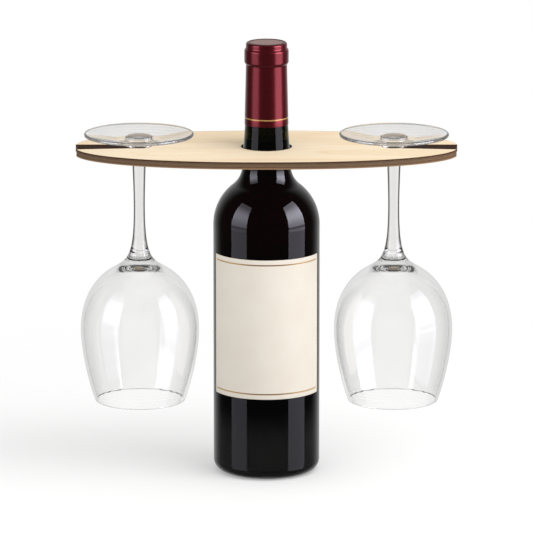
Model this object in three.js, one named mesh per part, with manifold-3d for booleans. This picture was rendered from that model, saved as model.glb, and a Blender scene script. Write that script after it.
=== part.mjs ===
// A wine bottle that carries two wine glasses on a plywood holder.
// Millimetres, +Z up, origin at the centre of the bottle's base. The bottle's label faces -Y, and the
// holder's long way is X. The holder is a flat oval board with a round hole and two open slots: the
// hole drops over the neck until the widening neck stops it, and each slot takes a glass by its stem,
// hung upside down, until the hub under the foot rests on the board round the slot's inner end.

import * as THREE from 'three';
import { mergeVertices } from 'three/addons/utils/BufferGeometryUtils.js';
import Module from 'manifold-3d';

const wasm = await Module();
wasm.setup();

// Fits
const SEAT_GAP = 0.3; // between pieces that rest on each other and come apart
const STACK_GAP = 0.1; // between pieces that are packed or pressed together
const SKIN_GAP = 0.05; // behind a glued or shrunk-on skin, and in a glue line

// Bottle glass
const BODY_RADIUS = 37.0;
const GLASS_WALL = 2.2;
const BASE_THICKNESS = 4.0;
const HEEL_RADIUS = 8.0;
const PUNT_HEIGHT = 14.0;
const BASE_RING_WIDTH = 2.5; // flat ring that the bottle stands on
const SHOULDER_HEIGHT = 175.4; // top of the straight body
const SHOULDER_RADIUS = 35.0; // convex arc of the shoulder
const NECK_FILLET_RADIUS = 18.0; // concave arc from the shoulder into the neck
const NECK_BASE_RADIUS = 16.85; // where that arc ends
const NECK_TAPER = 0.0645; // loss of radius per millimetre up from there
const BARE_NECK_LENGTH = 30.2; // up to the capsule's lower edge

// Bottle mouth, called the finish: a ring below the lip, and the bore that holds the cork
const NECK_TOP_RADIUS = 13.9; // under the ring
const RING_RADIUS = 15.05;
const RING_HEIGHT = 8.4;
const RING_BEVEL = 1.6; // height of the sloping edge above and below the ring
const LIP_RADIUS = 13.95;
const LIP_HEIGHT = 4.6; // from the ring to the mouth
const LIP_ROUND = 1.5;
const BORE_RADIUS = 9.4;
const BORE_FLARE = 10.0; // length of the cone from the bore into the neck

// Wine, cork, capsule and label
const CORK_LENGTH = 45.0;
const CORK_RECESS = 1.0; // below the mouth
const CORK_CHAMFER = 1.0;
const HEADSPACE = 20.6; // between the cork and the wine
const CAPSULE_SKIN = 0.25;
const CAPSULE_LENGTH = 56.5; // from its lower edge to the mouth
const CAPSULE_LIP_WIDTH = 0.7; // rim of the sleeve that is turned in over the disc
const DISC_THICKNESS = 0.6;
const LABEL_BOTTOM = 58.6;
const LABEL_HEIGHT = 98.6;
const LABEL_PAPER = 0.25;
const LABEL_FACETS = 14; // of the bottle's facets that the label covers

// Holder board, a three-ply sheet
const HOLE_CLEARANCE = 1.2; // round the widest place of the capsule
const BOARD_DEPTH = 114.0;
const BOARD_FULLNESS = 2.25; // exponent of the oval: 2 is an ellipse
const VENEER = 0.8;
const CORE = 3.3;
const BOWL_TO_BOTTLE = 10.1; // free space between a hung glass and the bottle
const SLOT_LENGTH = 44.4; // from the seat's centre to the end of the board
const SLOT_SEAT_WIDTH = 12.6;
const SLOT_MOUTH_WIDTH = 17.0;
const SLOT_TILT = 3.25; // degrees that each slot turns to the front on its way out
const SLOT_OVERRUN = 1.4; // length of the slot's cut, as a multiple of the slot

// Wine glass, measured upwards from its foot as it stands on a table
const GLASS_HEIGHT = 190.6;
const FOOT_RADIUS = 38.0;
const FOOT_EDGE = 1.7;
const FOOT_HOLLOW = 5.5; // rise of the foot's conical underside to its flat middle
const HOLLOW_FLOOR_RADIUS = 14.2; // where that cone would meet the flat middle
const HOLLOW_EASE = 7.0; // how far from there, on both sides, the two run into each other
const FOOT_CONE_HEIGHT = 7.4; // where the cone of the foot runs into its hub
const HUB_RADIUS = 9.2; // collar between the cone and the stem
const HUB_RISE = 1.93;
const HUB_ROUND = 0.5;
const FLARE_RADIUS = 4.9; // stem just above its concave turn into the hub
const FLARE_RISE = 3.57; // height of the turn
const FLARE_CORNER = [0.2, 0.4]; // how far its corner lies outside the stem and above the hub
const STEM_RADIUS = 4.12; // thinnest place of the stem
const STEM_WAIST_HEIGHT = 52.0;
const STEM_FOOT_PULL = [-0.2, 10.0]; // handles of the stem's curves
const STEM_WAIST_PULL = 14.0;
const STEM_BOWL_PULL = 6.0; // the stem stays thin to this far below the bowl
const BOWL_RADIUS = 41.2;
const BELLY_HEIGHT = 139.6; // where the bowl is widest
const BOWL_TIP_HEIGHT = 91.0; // where the bowl's curve would close without a stem
const BOWL_JOIN_RISE = 5.6; // from there to where the stem runs into the bowl's curve
const BOWL_JOIN_PULL = 12.8;
const BOWL_FLOOR = 4.3; // from there to the floor inside
const BOWL_LOWER_FULLNESS = 2.2;
const BOWL_UPPER_FULLNESS = 1.45;
const RIM_RADIUS = 31.3;
const BOWL_WALL = 1.4;

// Facets of the turned pieces and of the board, and steps along the curves of a profile
const BOTTLE_FACETS = 36;
const GLASS_FACETS = 30;
const CORK_FACETS = 24;
const BOARD_FACETS = 92;
const CUT_FACETS = 24; // in each half of a round cut
const STEPS = { punt: 4, heel: 3, shoulder: 5, fillet: 4, lip: 3, hollow: 4, edge: 4, hub: 2, flare: 4, stem: 4 };
const BOWL_STEPS = { join: 7, outside: 10, inside: 11, crowding: 1.5 };

const QUARTER = Math.PI / 2;

// Materials
function finish(color, roughness, metalness = 0) {
  return new THREE.MeshStandardMaterial({ color, roughness, metalness });
}

const BOTTLE_GREEN = finish(0x14150d, 0.08);
const RED_WINE = finish(0x2a0509, 0.1);
const CORK_BROWN = finish(0xb98d62, 0.8);
const BURGUNDY_FOIL = finish(0x6d1722, 0.38, 0.3);
const DISC_GREY = finish(0x8d8077, 0.5, 0.3);
const CREAM_PAPER = finish(0xeee5d3, 0.85);
const BIRCH_VENEER = finish(0xeed9b4, 0.6);
const CHARRED_CORE = finish(0x5b4231, 0.8);
const CLEAR_GLASS = finish(0xf2f6f7, 0.03);

// Profiles are lists of [radius, height], walked from the axis round the outside and back to the axis

function arc(centre, radius, from, to, steps) {
  const points = [];
  for (let i = 0; i <= steps; i++) {
    const angle = from + ((to - from) * i) / steps;
    points.push([centre[0] + radius * Math.cos(angle), centre[1] + radius * Math.sin(angle)]);
  }
  return points;
}

function bezier(controls, steps) {
  const ends = controls.map(([radius, height]) => new THREE.Vector2(radius, height));
  return new THREE.CubicBezierCurve(...ends).getPoints(steps).map((point) => [point.x, point.y]);
}

// A dome over the axis: its middle stands rise above its edge, and its section is a parabola
function dome(radius, edge, rise, steps) {
  const points = [];
  for (let i = 0; i <= steps; i++) {
    const share = i / steps;
    points.push([radius * share, edge + rise * (1 - share * share)]);
  }
  return points;
}

function turned(profile, facets) {
  const points = profile.map(([radius, height]) => new THREE.Vector2(radius, height));
  return new THREE.LatheGeometry(points, facets).rotateX(QUARTER);
}

// Walks a profile that narrows until it is narrower than the radius, and gives the height there
function heightAtRadius(profile, radius) {
  const next = profile.findIndex((point) => point[0] < radius);
  const [outerRadius, outerHeight] = profile[next - 1];
  const [innerRadius, innerHeight] = profile[next];
  const share = (outerRadius - radius) / (outerRadius - innerRadius);
  return outerHeight + share * (innerHeight - outerHeight);
}

// Bottle: the neck's fillet touches the shoulder's arc on one side and the neck's slanting side on the other
const NECK_LEAN = Math.atan(NECK_TAPER);
const SHOULDER_CENTRE = [BODY_RADIUS - SHOULDER_RADIUS, SHOULDER_HEIGHT];
const FILLET_AXIS = NECK_BASE_RADIUS + NECK_FILLET_RADIUS * Math.cos(NECK_LEAN);
const FILLET_RISE = Math.sqrt(
  (SHOULDER_RADIUS + NECK_FILLET_RADIUS) ** 2 - (FILLET_AXIS - SHOULDER_CENTRE[0]) ** 2,
);
const FILLET_CENTRE = [FILLET_AXIS, SHOULDER_HEIGHT + FILLET_RISE];
const NECK_BASE = FILLET_CENTRE[1] - NECK_FILLET_RADIUS * Math.sin(NECK_LEAN);
const CAPSULE_BOTTOM = NECK_BASE + BARE_NECK_LENGTH;
const BOTTLE_HEIGHT = CAPSULE_BOTTOM + CAPSULE_LENGTH;
const CORK_TOP = BOTTLE_HEIGHT - CORK_RECESS;
const CORK_BOTTOM = CORK_TOP - CORK_LENGTH;
const FILL_HEIGHT = CORK_BOTTOM - HEADSPACE;

function neckRadius(height) {
  return NECK_BASE_RADIUS - NECK_TAPER * (height - NECK_BASE);
}

// The shoulder and the neck up to the given height, moved inwards by wall
function shoulderSide(wall, neckEnd) {
  const turn = Math.atan2(FILLET_RISE, FILLET_AXIS - SHOULDER_CENTRE[0]);
  const fillet = [turn + Math.PI, NECK_LEAN + Math.PI];
  return [
    ...arc(SHOULDER_CENTRE, SHOULDER_RADIUS - wall, 0, turn, STEPS.shoulder),
    ...arc(FILLET_CENTRE, NECK_FILLET_RADIUS + wall, ...fillet, STEPS.fillet).slice(1),
    [neckRadius(neckEnd) - wall / Math.cos(NECK_LEAN), neckEnd],
  ];
}

// The bottle's side from the middle of the punt to the given height in the neck, moved inwards by wall
// and upwards by floor
function bottleSide(wall, floor, neckEnd) {
  const heelAxis = BODY_RADIUS - HEEL_RADIUS;
  const heel = HEEL_RADIUS - wall;
  return [
    ...dome(heelAxis - BASE_RING_WIDTH, floor, PUNT_HEIGHT, STEPS.punt),
    ...arc([heelAxis, floor + heel], heel, -QUARTER, 0, STEPS.heel),
    ...shoulderSide(wall, neckEnd),
  ];
}

// The neck above the capsule's lower edge, the ring and the lip, moved outwards by offset, with the
// lip's edge raised by lift
function finishSide(offset, lift) {
  const ringTop = BOTTLE_HEIGHT - LIP_HEIGHT;
  const ringBottom = ringTop - RING_HEIGHT;
  const lipEdge = [LIP_RADIUS - LIP_ROUND, BOTTLE_HEIGHT - LIP_ROUND + lift];
  return [
    [neckRadius(CAPSULE_BOTTOM) + offset, CAPSULE_BOTTOM],
    [NECK_TOP_RADIUS + offset, ringBottom - RING_BEVEL],
    [RING_RADIUS + offset, ringBottom],
    [RING_RADIUS + offset, ringTop],
    [LIP_RADIUS + offset, ringTop + RING_BEVEL],
    ...arc(lipEdge, LIP_ROUND + offset, 0, QUARTER, STEPS.lip),
  ];
}

function bottleGlass() {
  const boreEnd = CORK_BOTTOM - STACK_GAP;
  const outside = bottleSide(0, 0, CAPSULE_BOTTOM);
  const inside = bottleSide(GLASS_WALL, BASE_THICKNESS, boreEnd - BORE_FLARE);
  const bore = [
    [BORE_RADIUS, BOTTLE_HEIGHT],
    [BORE_RADIUS, boreEnd],
  ];
  const profile = [...outside, ...finishSide(0, 0).slice(1), ...bore, ...inside.reverse()];
  return turned(profile, BOTTLE_FACETS);
}

function wineFill() {
  const side = bottleSide(GLASS_WALL + SEAT_GAP, BASE_THICKNESS + SEAT_GAP, FILL_HEIGHT);
  return turned([...side, [0, FILL_HEIGHT]], BOTTLE_FACETS);
}

function cork() {
  const radius = BORE_RADIUS - STACK_GAP;
  const profile = [
    [0, CORK_BOTTOM],
    [radius - CORK_CHAMFER, CORK_BOTTOM],
    [radius, CORK_BOTTOM + CORK_CHAMFER],
    [radius, CORK_TOP - CORK_CHAMFER],
    [radius - CORK_CHAMFER, CORK_TOP],
    [0, CORK_TOP],
  ];
  return turned(profile, CORK_FACETS);
}

// Capsule: the sleeve follows the finish, turns in over the disc and comes back down inside
const DISC_RADIUS = LIP_RADIUS - LIP_ROUND;
const DISC_BOTTOM = BOTTLE_HEIGHT + STACK_GAP;
const DISC_TOP = DISC_BOTTOM + DISC_THICKNESS;
const CAPSULE_OFFSET = SKIN_GAP + CAPSULE_SKIN;

function capsuleSleeve() {
  const lift = DISC_TOP + STACK_GAP - BOTTLE_HEIGHT - SKIN_GAP;
  const outside = finishSide(CAPSULE_OFFSET, lift);
  const inside = finishSide(SKIN_GAP, lift);
  const rimRadius = DISC_RADIUS - CAPSULE_LIP_WIDTH;
  const rim = [
    [rimRadius, outside.at(-1)[1]],
    [rimRadius, inside.at(-1)[1]],
  ];
  return turned([...outside, ...rim, ...inside.reverse(), outside[0]], BOTTLE_FACETS);
}

function capsuleTopDisc() {
  const profile = [
    [0, DISC_BOTTOM],
    [DISC_RADIUS, DISC_BOTTOM],
    [DISC_RADIUS, DISC_TOP],
    [0, DISC_TOP],
  ];
  return turned(profile, BOTTLE_FACETS);
}

// The paper lies on whole facets of the bottle, with its middle at the front
function frontLabel() {
  const inner = BODY_RADIUS + SKIN_GAP;
  const outer = inner + LABEL_PAPER;
  const half = (LABEL_FACETS * Math.PI) / BOTTLE_FACETS;
  const section = [
    ...arc([0, 0], outer, -QUARTER - half, -QUARTER + half, LABEL_FACETS),
    ...arc([0, 0], inner, -QUARTER + half, -QUARTER - half, LABEL_FACETS),
  ];
  const shape = new THREE.Shape(section.map(([x, y]) => new THREE.Vector2(x, y)));
  const options = { depth: LABEL_HEIGHT, bevelEnabled: false };
  return new THREE.ExtrudeGeometry(shape, options).translate(0, 0, LABEL_BOTTOM);
}

// Holder: the hole passes over the capsule, and the neck says how low it comes to rest
const CAPSULE_RADIUS = Math.max(RING_RADIUS, LIP_RADIUS, neckRadius(CAPSULE_BOTTOM)) + CAPSULE_OFFSET;
const HOLE_RADIUS = CAPSULE_RADIUS + HOLE_CLEARANCE;
const BOARD_BOTTOM = heightAtRadius(shoulderSide(0, CAPSULE_BOTTOM), HOLE_RADIUS - SEAT_GAP);
const CORE_BOTTOM = BOARD_BOTTOM + VENEER + SKIN_GAP;
const TOP_VENEER_BOTTOM = CORE_BOTTOM + CORE + SKIN_GAP;
const BOARD_TOP = TOP_VENEER_BOTTOM + VENEER;
const SEAT_X = BODY_RADIUS + BOWL_TO_BOTTLE + BOWL_RADIUS;
const BOARD_HALF_LENGTH = SEAT_X + SLOT_LENGTH;

// Each slot's seat, and the way from there to its mouth as an angle from +X
const TILT = THREE.MathUtils.degToRad(SLOT_TILT);
const SLOTS = { left: { x: -SEAT_X, angle: Math.PI + TILT }, right: { x: SEAT_X, angle: -TILT } };

function solid(geometry) {
  const bare = geometry.clone();
  bare.deleteAttribute('normal');
  bare.deleteAttribute('uv');
  const welded = mergeVertices(bare);
  const vertProperties = new Float32Array(welded.attributes.position.array);
  const triVerts = new Uint32Array(welded.index.array);
  return new wasm.Manifold(new wasm.Mesh({ numProp: 3, vertProperties, triVerts }));
}

function surface(manifold) {
  const mesh = manifold.getMesh();
  const geometry = new THREE.BufferGeometry();
  geometry.setAttribute('position', new THREE.BufferAttribute(mesh.vertProperties, 3));
  geometry.setIndex(new THREE.BufferAttribute(mesh.triVerts, 1));
  geometry.computeVertexNormals();
  return geometry;
}

// Superellipse: |x / a|^n + |y / b|^n = 1
function ovalOutline() {
  const power = 2 / BOARD_FULLNESS;
  const points = [];
  for (let i = 0; i < BOARD_FACETS; i++) {
    const angle = (2 * Math.PI * i) / BOARD_FACETS;
    const along = Math.cos(angle);
    const across = Math.sin(angle);
    const x = BOARD_HALF_LENGTH * Math.sign(along) * Math.abs(along) ** power;
    const y = (BOARD_DEPTH / 2) * Math.sign(across) * Math.abs(across) ** power;
    points.push(new THREE.Vector2(x, y));
  }
  return points;
}

// A slot with its round seat at the origin and its mouth towards +X, cut past the end of the board
function slotOutline() {
  const seat = SLOT_SEAT_WIDTH / 2;
  const mouth = seat + (SLOT_MOUTH_WIDTH / 2 - seat) * SLOT_OVERRUN;
  const end = SLOT_LENGTH * SLOT_OVERRUN;
  const shape = new THREE.Shape();
  shape.moveTo(end, -mouth);
  shape.lineTo(0, -seat);
  shape.absarc(0, 0, seat, -QUARTER, QUARTER, true);
  shape.lineTo(end, mouth);
  return shape;
}

// One ply, with its underside at height 0. The slots' cutters reach past both faces.
function ply(thickness) {
  const oval = new THREE.Shape(ovalOutline());
  const hole = new THREE.Path();
  hole.absarc(0, 0, HOLE_RADIUS, 0, 2 * Math.PI, true);
  oval.holes.push(hole);
  const options = { bevelEnabled: false, curveSegments: CUT_FACETS };
  let sheet = solid(new THREE.ExtrudeGeometry(oval, { ...options, depth: thickness }));
  const cutter = new THREE.ExtrudeGeometry(slotOutline(), { ...options, depth: 3 * thickness });
  for (const slot of Object.values(SLOTS)) {
    const cut = cutter.clone().rotateZ(slot.angle).translate(slot.x, 0, -thickness);
    sheet = sheet.subtract(solid(cut));
  }
  return surface(sheet);
}

// Wine glass: the bowl's side is one superellipse below its belly and another above it
const HUB_END = FOOT_CONE_HEIGHT + HUB_RISE;
const BOWL_JOIN_HEIGHT = BOWL_TIP_HEIGHT + BOWL_JOIN_RISE;
const BOWL_FLOOR_HEIGHT = BOWL_TIP_HEIGHT + BOWL_FLOOR;
const OUTSIDE = { widest: BOWL_RADIUS, tip: BOWL_TIP_HEIGHT, rim: RIM_RADIUS };
const INSIDE = { widest: BOWL_RADIUS - BOWL_WALL, tip: BOWL_FLOOR_HEIGHT, rim: RIM_RADIUS - BOWL_WALL };

function bowlRadius(height, { widest, tip, rim }) {
  if (height < BELLY_HEIGHT) {
    const drop = (BELLY_HEIGHT - height) / (BELLY_HEIGHT - tip);
    return widest * Math.sqrt(1 - drop ** BOWL_LOWER_FULLNESS);
  }
  const atRim = 1 - (rim / widest) ** 2;
  const rise = (height - BELLY_HEIGHT) / (GLASS_HEIGHT - BELLY_HEIGHT);
  return widest * Math.sqrt(1 - atRim * rise ** BOWL_UPPER_FULLNESS);
}

// The bowl's side from one height up to the rim, with shorter steps low down, where it curves most
function bowlSide(from, curve, steps) {
  const side = [];
  for (let i = 0; i <= steps; i++) {
    const height = from + (GLASS_HEIGHT - from) * (i / steps) ** BOWL_STEPS.crowding;
    side.push([bowlRadius(height, curve), height]);
  }
  return side;
}

// Hollow under the foot: flat in the middle, then a curve into the cone that runs down to the edge
function footHollow(underside) {
  const corner = new THREE.Vector2(HOLLOW_FLOOR_RADIUS, FOOT_HOLLOW);
  const flat = new THREE.Vector2(HOLLOW_FLOOR_RADIUS - HOLLOW_EASE, FOOT_HOLLOW);
  const cone = new THREE.Vector2(underside, 0).sub(corner).setLength(HOLLOW_EASE).add(corner);
  const curve = new THREE.QuadraticBezierCurve(flat, corner, cone);
  return [[0, FOOT_HOLLOW], ...curve.getPoints(STEPS.hollow).map((point) => [point.x, point.y])];
}

function footSide() {
  const edge = FOOT_EDGE / 2;
  const underside = FOOT_RADIUS - edge;
  return [...footHollow(underside), ...arc([underside, edge], edge, -QUARTER, QUARTER, STEPS.edge)];
}

// Hub: its flat end is what rests on the board
function footHub() {
  const round = [HUB_RADIUS - HUB_ROUND, HUB_END - HUB_ROUND];
  return [[HUB_RADIUS, FOOT_CONE_HEIGHT], ...arc(round, HUB_ROUND, 0, QUARTER, STEPS.hub)];
}

// Concave turn from the hub's end into the stem, narrow enough to enter a slot's seat
function footFlare() {
  const hub = new THREE.Vector2(SLOT_SEAT_WIDTH / 2 - SEAT_GAP, HUB_END);
  const stem = new THREE.Vector2(FLARE_RADIUS, HUB_END + FLARE_RISE);
  const corner = new THREE.Vector2(FLARE_RADIUS + FLARE_CORNER[0], HUB_END + FLARE_CORNER[1]);
  const curve = new THREE.QuadraticBezierCurve(hub, corner, stem);
  return curve.getPoints(STEPS.flare).map((point) => [point.x, point.y]);
}

function stemSide() {
  const start = [FLARE_RADIUS, HUB_END + FLARE_RISE];
  const waist = [STEM_RADIUS, STEM_WAIST_HEIGHT];
  const lower = bezier(
    [
      start,
      [start[0] + STEM_FOOT_PULL[0], start[1] + STEM_FOOT_PULL[1]],
      [STEM_RADIUS, STEM_WAIST_HEIGHT - STEM_WAIST_PULL],
      waist,
    ],
    STEPS.stem,
  );
  const join = [bowlRadius(BOWL_JOIN_HEIGHT, OUTSIDE), BOWL_JOIN_HEIGHT];
  const above = BOWL_JOIN_HEIGHT + 1;
  const slope = new THREE.Vector2(bowlRadius(above, OUTSIDE) - join[0], above - join[1]);
  slope.setLength(BOWL_JOIN_PULL);
  const upper = bezier(
    [
      waist,
      [STEM_RADIUS, BOWL_JOIN_HEIGHT - STEM_BOWL_PULL],
      [join[0] - slope.x, join[1] - slope.y],
      join,
    ],
    BOWL_STEPS.join,
  );
  return [...lower.slice(1), ...upper.slice(1)];
}

function wineGlass() {
  const outside = bowlSide(BOWL_JOIN_HEIGHT, OUTSIDE, BOWL_STEPS.outside).slice(1);
  const inside = bowlSide(BOWL_FLOOR_HEIGHT, INSIDE, BOWL_STEPS.inside).reverse();
  const foot = [...footSide(), ...footHub(), ...footFlare()];
  const profile = [...foot, ...stemSide(), ...outside, ...inside];
  return turned(profile, GLASS_FACETS);
}

// Height of a hung foot: its hub lies on the board's top
const FOOT_PLANE = BOARD_TOP + SEAT_GAP + HUB_END;

// Assembly
function piece(name, geometry, material) {
  const mesh = new THREE.Mesh(geometry, material);
  mesh.name = name;
  return mesh;
}

const bottle = new THREE.Group();
bottle.add(
  piece('bottle_glass', bottleGlass(), BOTTLE_GREEN),
  piece('wine_fill', wineFill(), RED_WINE),
  piece('cork', cork(), CORK_BROWN),
  piece('capsule_sleeve', capsuleSleeve(), BURGUNDY_FOIL),
  piece('capsule_top_disc', capsuleTopDisc(), DISC_GREY),
  piece('front_label', frontLabel(), CREAM_PAPER),
);

const holder = new THREE.Group();
const plies = [
  ['holder_bottom_veneer', VENEER, BOARD_BOTTOM, BIRCH_VENEER],
  ['holder_core_ply', CORE, CORE_BOTTOM, CHARRED_CORE],
  ['holder_top_veneer', VENEER, TOP_VENEER_BOTTOM, BIRCH_VENEER],
];
for (const [name, thickness, height, material] of plies) {
  const sheet = piece(name, ply(thickness), material);
  sheet.position.z = height;
  holder.add(sheet);
}

for (const [side, slot] of Object.entries(SLOTS)) {
  const glass = piece(`wine_glass_${side}`, wineGlass(), CLEAR_GLASS);
  glass.rotation.x = Math.PI;
  glass.position.set(slot.x, 0, FOOT_PLANE);
  holder.add(glass);
}

const set = new THREE.Group();
set.add(bottle, holder);

export default set;
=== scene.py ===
# %% [markdown]
# # A bottle of wine that carries its own glasses
#
# This lesson dresses a small assembly: a corked bottle of red wine, a flat plywood holder that drops
# over its neck, and two wine glasses that hang upside down from the holder's slots. The construction
# is already there as plain faceted solids. Here each solid is replaced by a smooth surface of the same
# size and place, and gets the finish of the real thing.

import bpy
import numpy as np
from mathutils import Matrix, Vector


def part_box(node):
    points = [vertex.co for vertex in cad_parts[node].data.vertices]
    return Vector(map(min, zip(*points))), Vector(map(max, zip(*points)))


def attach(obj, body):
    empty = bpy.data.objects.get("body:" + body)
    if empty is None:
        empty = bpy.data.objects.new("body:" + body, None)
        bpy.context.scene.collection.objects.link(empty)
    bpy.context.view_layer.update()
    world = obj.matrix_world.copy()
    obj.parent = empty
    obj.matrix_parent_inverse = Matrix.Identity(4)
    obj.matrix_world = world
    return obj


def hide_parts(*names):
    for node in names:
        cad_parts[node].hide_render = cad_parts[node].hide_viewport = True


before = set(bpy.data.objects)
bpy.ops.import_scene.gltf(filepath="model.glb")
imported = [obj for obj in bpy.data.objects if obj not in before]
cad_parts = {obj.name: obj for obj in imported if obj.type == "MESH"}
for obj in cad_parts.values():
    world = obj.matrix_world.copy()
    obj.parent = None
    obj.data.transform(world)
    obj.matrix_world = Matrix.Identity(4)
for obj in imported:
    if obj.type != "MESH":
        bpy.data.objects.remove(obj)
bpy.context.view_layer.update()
MM = 0.001  # all sizes below are in millimetres, and Blender works in metres


def box_mm(node):
    """Lowest and highest corner of a solid, in millimetres."""
    low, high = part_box(node)
    return np.array(low) / MM, np.array(high) / MM


print("solids:", sorted(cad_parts))

# %% [markdown]
# ## The camera
#
# The rims of the glasses and the label's edges are all ellipses of the same flatness, from the top of
# the picture to the bottom. That means a camera far away with a long lens, looking down a little.
# A long lens also keeps the bottle's sides upright without any shift of the lens.

# %% Camera
CAMERA_DISTANCE = 3500.0  # in front of the bottle's axis
CAMERA_HEIGHT = 920.0
CAMERA_PITCH = 12.487  # degrees below the horizon
SENSOR = 36.0
LENS = 347.87
CLIP_END = 100.0  # metres


def placed(name, data):
    """Adds a mesh, a lamp or a camera to the scene as an object."""
    held = bpy.data.objects.new(name, data)
    bpy.context.scene.collection.objects.link(held)
    return held


def make_camera():
    """Places the camera on the front side, turned down from the horizon by the pitch."""
    lens = bpy.data.cameras.new("camera")
    lens.sensor_width = SENSOR
    lens.lens = LENS
    lens.clip_end = CLIP_END
    camera = placed("camera", lens)
    camera.location = (0.0, -CAMERA_DISTANCE * MM, CAMERA_HEIGHT * MM)
    camera.rotation_euler = (np.radians(90.0 - CAMERA_PITCH), 0.0, 0.0)
    bpy.context.scene.camera = camera
    print("camera:", CAMERA_DISTANCE, "mm away,", CAMERA_PITCH, "degrees down, lens", LENS, "mm")


make_camera()

# %% [markdown]
# ## Lines for profiles
#
# The outline of a moulded or blown piece is a chain of straight stretches, arcs and free curves. Four
# small functions give them as arrays of points: a circle's arc, a Bezier curve for free lines, a flat
# dome for bases and discs, and a line whose corners are rounded.

# %% Lines
QUARTER = np.pi / 2.0
EASE_STEPS = 6


def arc(centre, radius, start, end, steps):
    """Points of a circle: centre + radius * (cos a, sin a), for angles a from start to end."""
    angle = np.linspace(start, end, steps + 1)
    return np.column_stack([centre[0] + radius * np.cos(angle), centre[1] + radius * np.sin(angle)])


def bezier(controls, steps):
    """Points of a Bezier curve: neighbouring controls are mixed by a share until one point is left."""
    share = np.linspace(0.0, 1.0, steps + 1)[:, None]
    level = [np.asarray(control, float) for control in controls]
    while len(level) > 1:
        level = [a + (b - a) * share for a, b in zip(level, level[1:])]
    return level[0]


def dome(radius, edge, rise, steps):
    """Parabola over the axis: height = edge + rise * (1 - s * s) at radius * s, for s from 0 to 1."""
    share = np.linspace(0.0, 1.0, steps + 1)
    return np.column_stack([radius * share, edge + rise * (1.0 - share**2)])


def eased(corners, reach, steps=EASE_STEPS):
    """A line whose inner corners are Bezier curves, each from reach before it to reach after it.

    On a short stretch a curve goes no further than the middle.
    """
    corners = [np.asarray(corner, float) for corner in corners]
    line = [corners[0][None]]
    for before, corner, after in zip(corners, corners[1:], corners[2:]):
        into = corner + (before - corner) * min(reach / np.linalg.norm(before - corner), 0.5)
        out = corner + (after - corner) * min(reach / np.linalg.norm(after - corner), 0.5)
        line.append(bezier([into, corner, out], steps))
    line.append(corners[-1][None])
    return np.concatenate(line)


print("a quarter circle ends at", arc((0.0, 0.0), 1.0, 0.0, QUARTER, EASE_STEPS)[-1].round(3))

# %% [markdown]
# ## Grids of points
#
# A surface here is a grid of points, with rows along a line and columns along the way that the line
# is carried. A face joins four neighbours, so shifted copies of the grid of point numbers give all
# faces at once, without a loop.


# %% Grids
def carried(rows, angle):
    """Profile points (r, z) carried to (r sin a, -r cos a, z), for each angle a from the front."""
    radius = rows[:, :1]
    height = np.broadcast_to(rows[:, 1:], (len(rows), len(angle)))
    return np.stack([radius * np.sin(angle), -radius * np.cos(angle), height], axis=-1)


def numbered(points):
    """The number of each point of a grid, in the grid's own shape."""
    return np.arange(points.shape[0] * points.shape[1]).reshape(points.shape[:2])


def quads_of(*corners):
    """Four-sided faces from four grids of point numbers, one for each corner."""
    return np.stack(corners, axis=-1).reshape(-1, 4)


print("a strip of points is numbered", numbered(np.zeros((2, 3, 3))).tolist())

# %% [markdown]
# ## Turned surfaces
#
# Bottle, wine, cork, capsule and glasses are all round, so each is a profile carried round the upright
# axis. A Screw modifier or a spin would do it too, but as whole arrays the points and faces cost a few
# lines, the seam and the poles are closed from the start, and the faces are known to point outwards.

# %% Turned surfaces
GUARD_GAP = 0.4
LONG_STRETCH = 5.0 * GUARD_GAP
ON_AXIS = 1e-9


def guarded(profile):
    """Adds a point close to both ends of each long straight stretch, so that its shading stays even."""
    step = np.diff(profile, axis=0)
    length = np.linalg.norm(step, axis=1, keepdims=True)
    offset = step * GUARD_GAP / np.maximum(length, GUARD_GAP)
    points = np.stack([profile[:-1], profile[:-1] + offset, profile[1:] - offset], axis=1)
    keep = np.column_stack([length > 0.0, length > LONG_STRETCH, length > LONG_STRETCH])
    return np.concatenate([points[keep], profile[-1:]])


def turned(profile, around):
    """Points and faces of a profile of (radius, height) carried round Z in equal steps.

    On the axis the ring is one point and its faces are triangles. A profile that ends where it starts
    closes.
    """
    profile = guarded(np.asarray(profile, float))
    closed = np.allclose(profile[0], profile[-1])
    rows = profile[:-1] if closed else profile
    points = carried(rows, np.arange(around) * 2.0 * np.pi / around)
    index = numbered(points)
    on_axis = rows[:, 0] < ON_AXIS
    index[on_axis] = index[on_axis, :1]
    low = index if closed else index[:-1]
    high = np.roll(index, -1, axis=0) if closed else index[1:]
    quads = quads_of(low, np.roll(low, -1, axis=1), np.roll(high, -1, axis=1), high)
    used, quads = np.unique(quads, return_inverse=True)
    quads = quads.reshape(-1, 4)
    starts = quads[:, 0] == quads[:, 1]
    ends = quads[:, 2] == quads[:, 3]
    faces = quads[~(starts | ends)].tolist()
    faces += quads[starts][:, 1:].tolist()
    faces += quads[ends & ~starts][:, :3].tolist()
    return points.reshape(-1, 3)[used], faces


CONE = [(0.0, 0.0), (1.0, 0.0), (0.0, 1.0)]
print("a turned cone with six sides has", len(turned(CONE, 6)[1]), "faces")

# %% [markdown]
# ## Pieces of the assembly
#
# A mesh becomes a piece of the assembly by two calls: which solid it replaces, and which body it rides
# on when a joint moves. Its points are where the solid's are, so it needs no placing.


# %% Pieces
def smooth_surface(name, points, faces):
    """A smooth mesh object from points in millimetres."""
    mesh = bpy.data.meshes.new(name)
    mesh.from_pydata((np.asarray(points) * MM).tolist(), [], faces)
    mesh.shade_smooth()
    print(name, len(mesh.vertices), "points,", len(mesh.polygons), "faces")
    return placed(name, mesh)


def surface_piece(name, points, faces, body, node, slot):
    """A smooth mesh that stands for a solid and moves with its body."""
    piece = smooth_surface(name, points, faces)
    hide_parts(node)
    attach(piece, body)
    return piece


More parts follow.
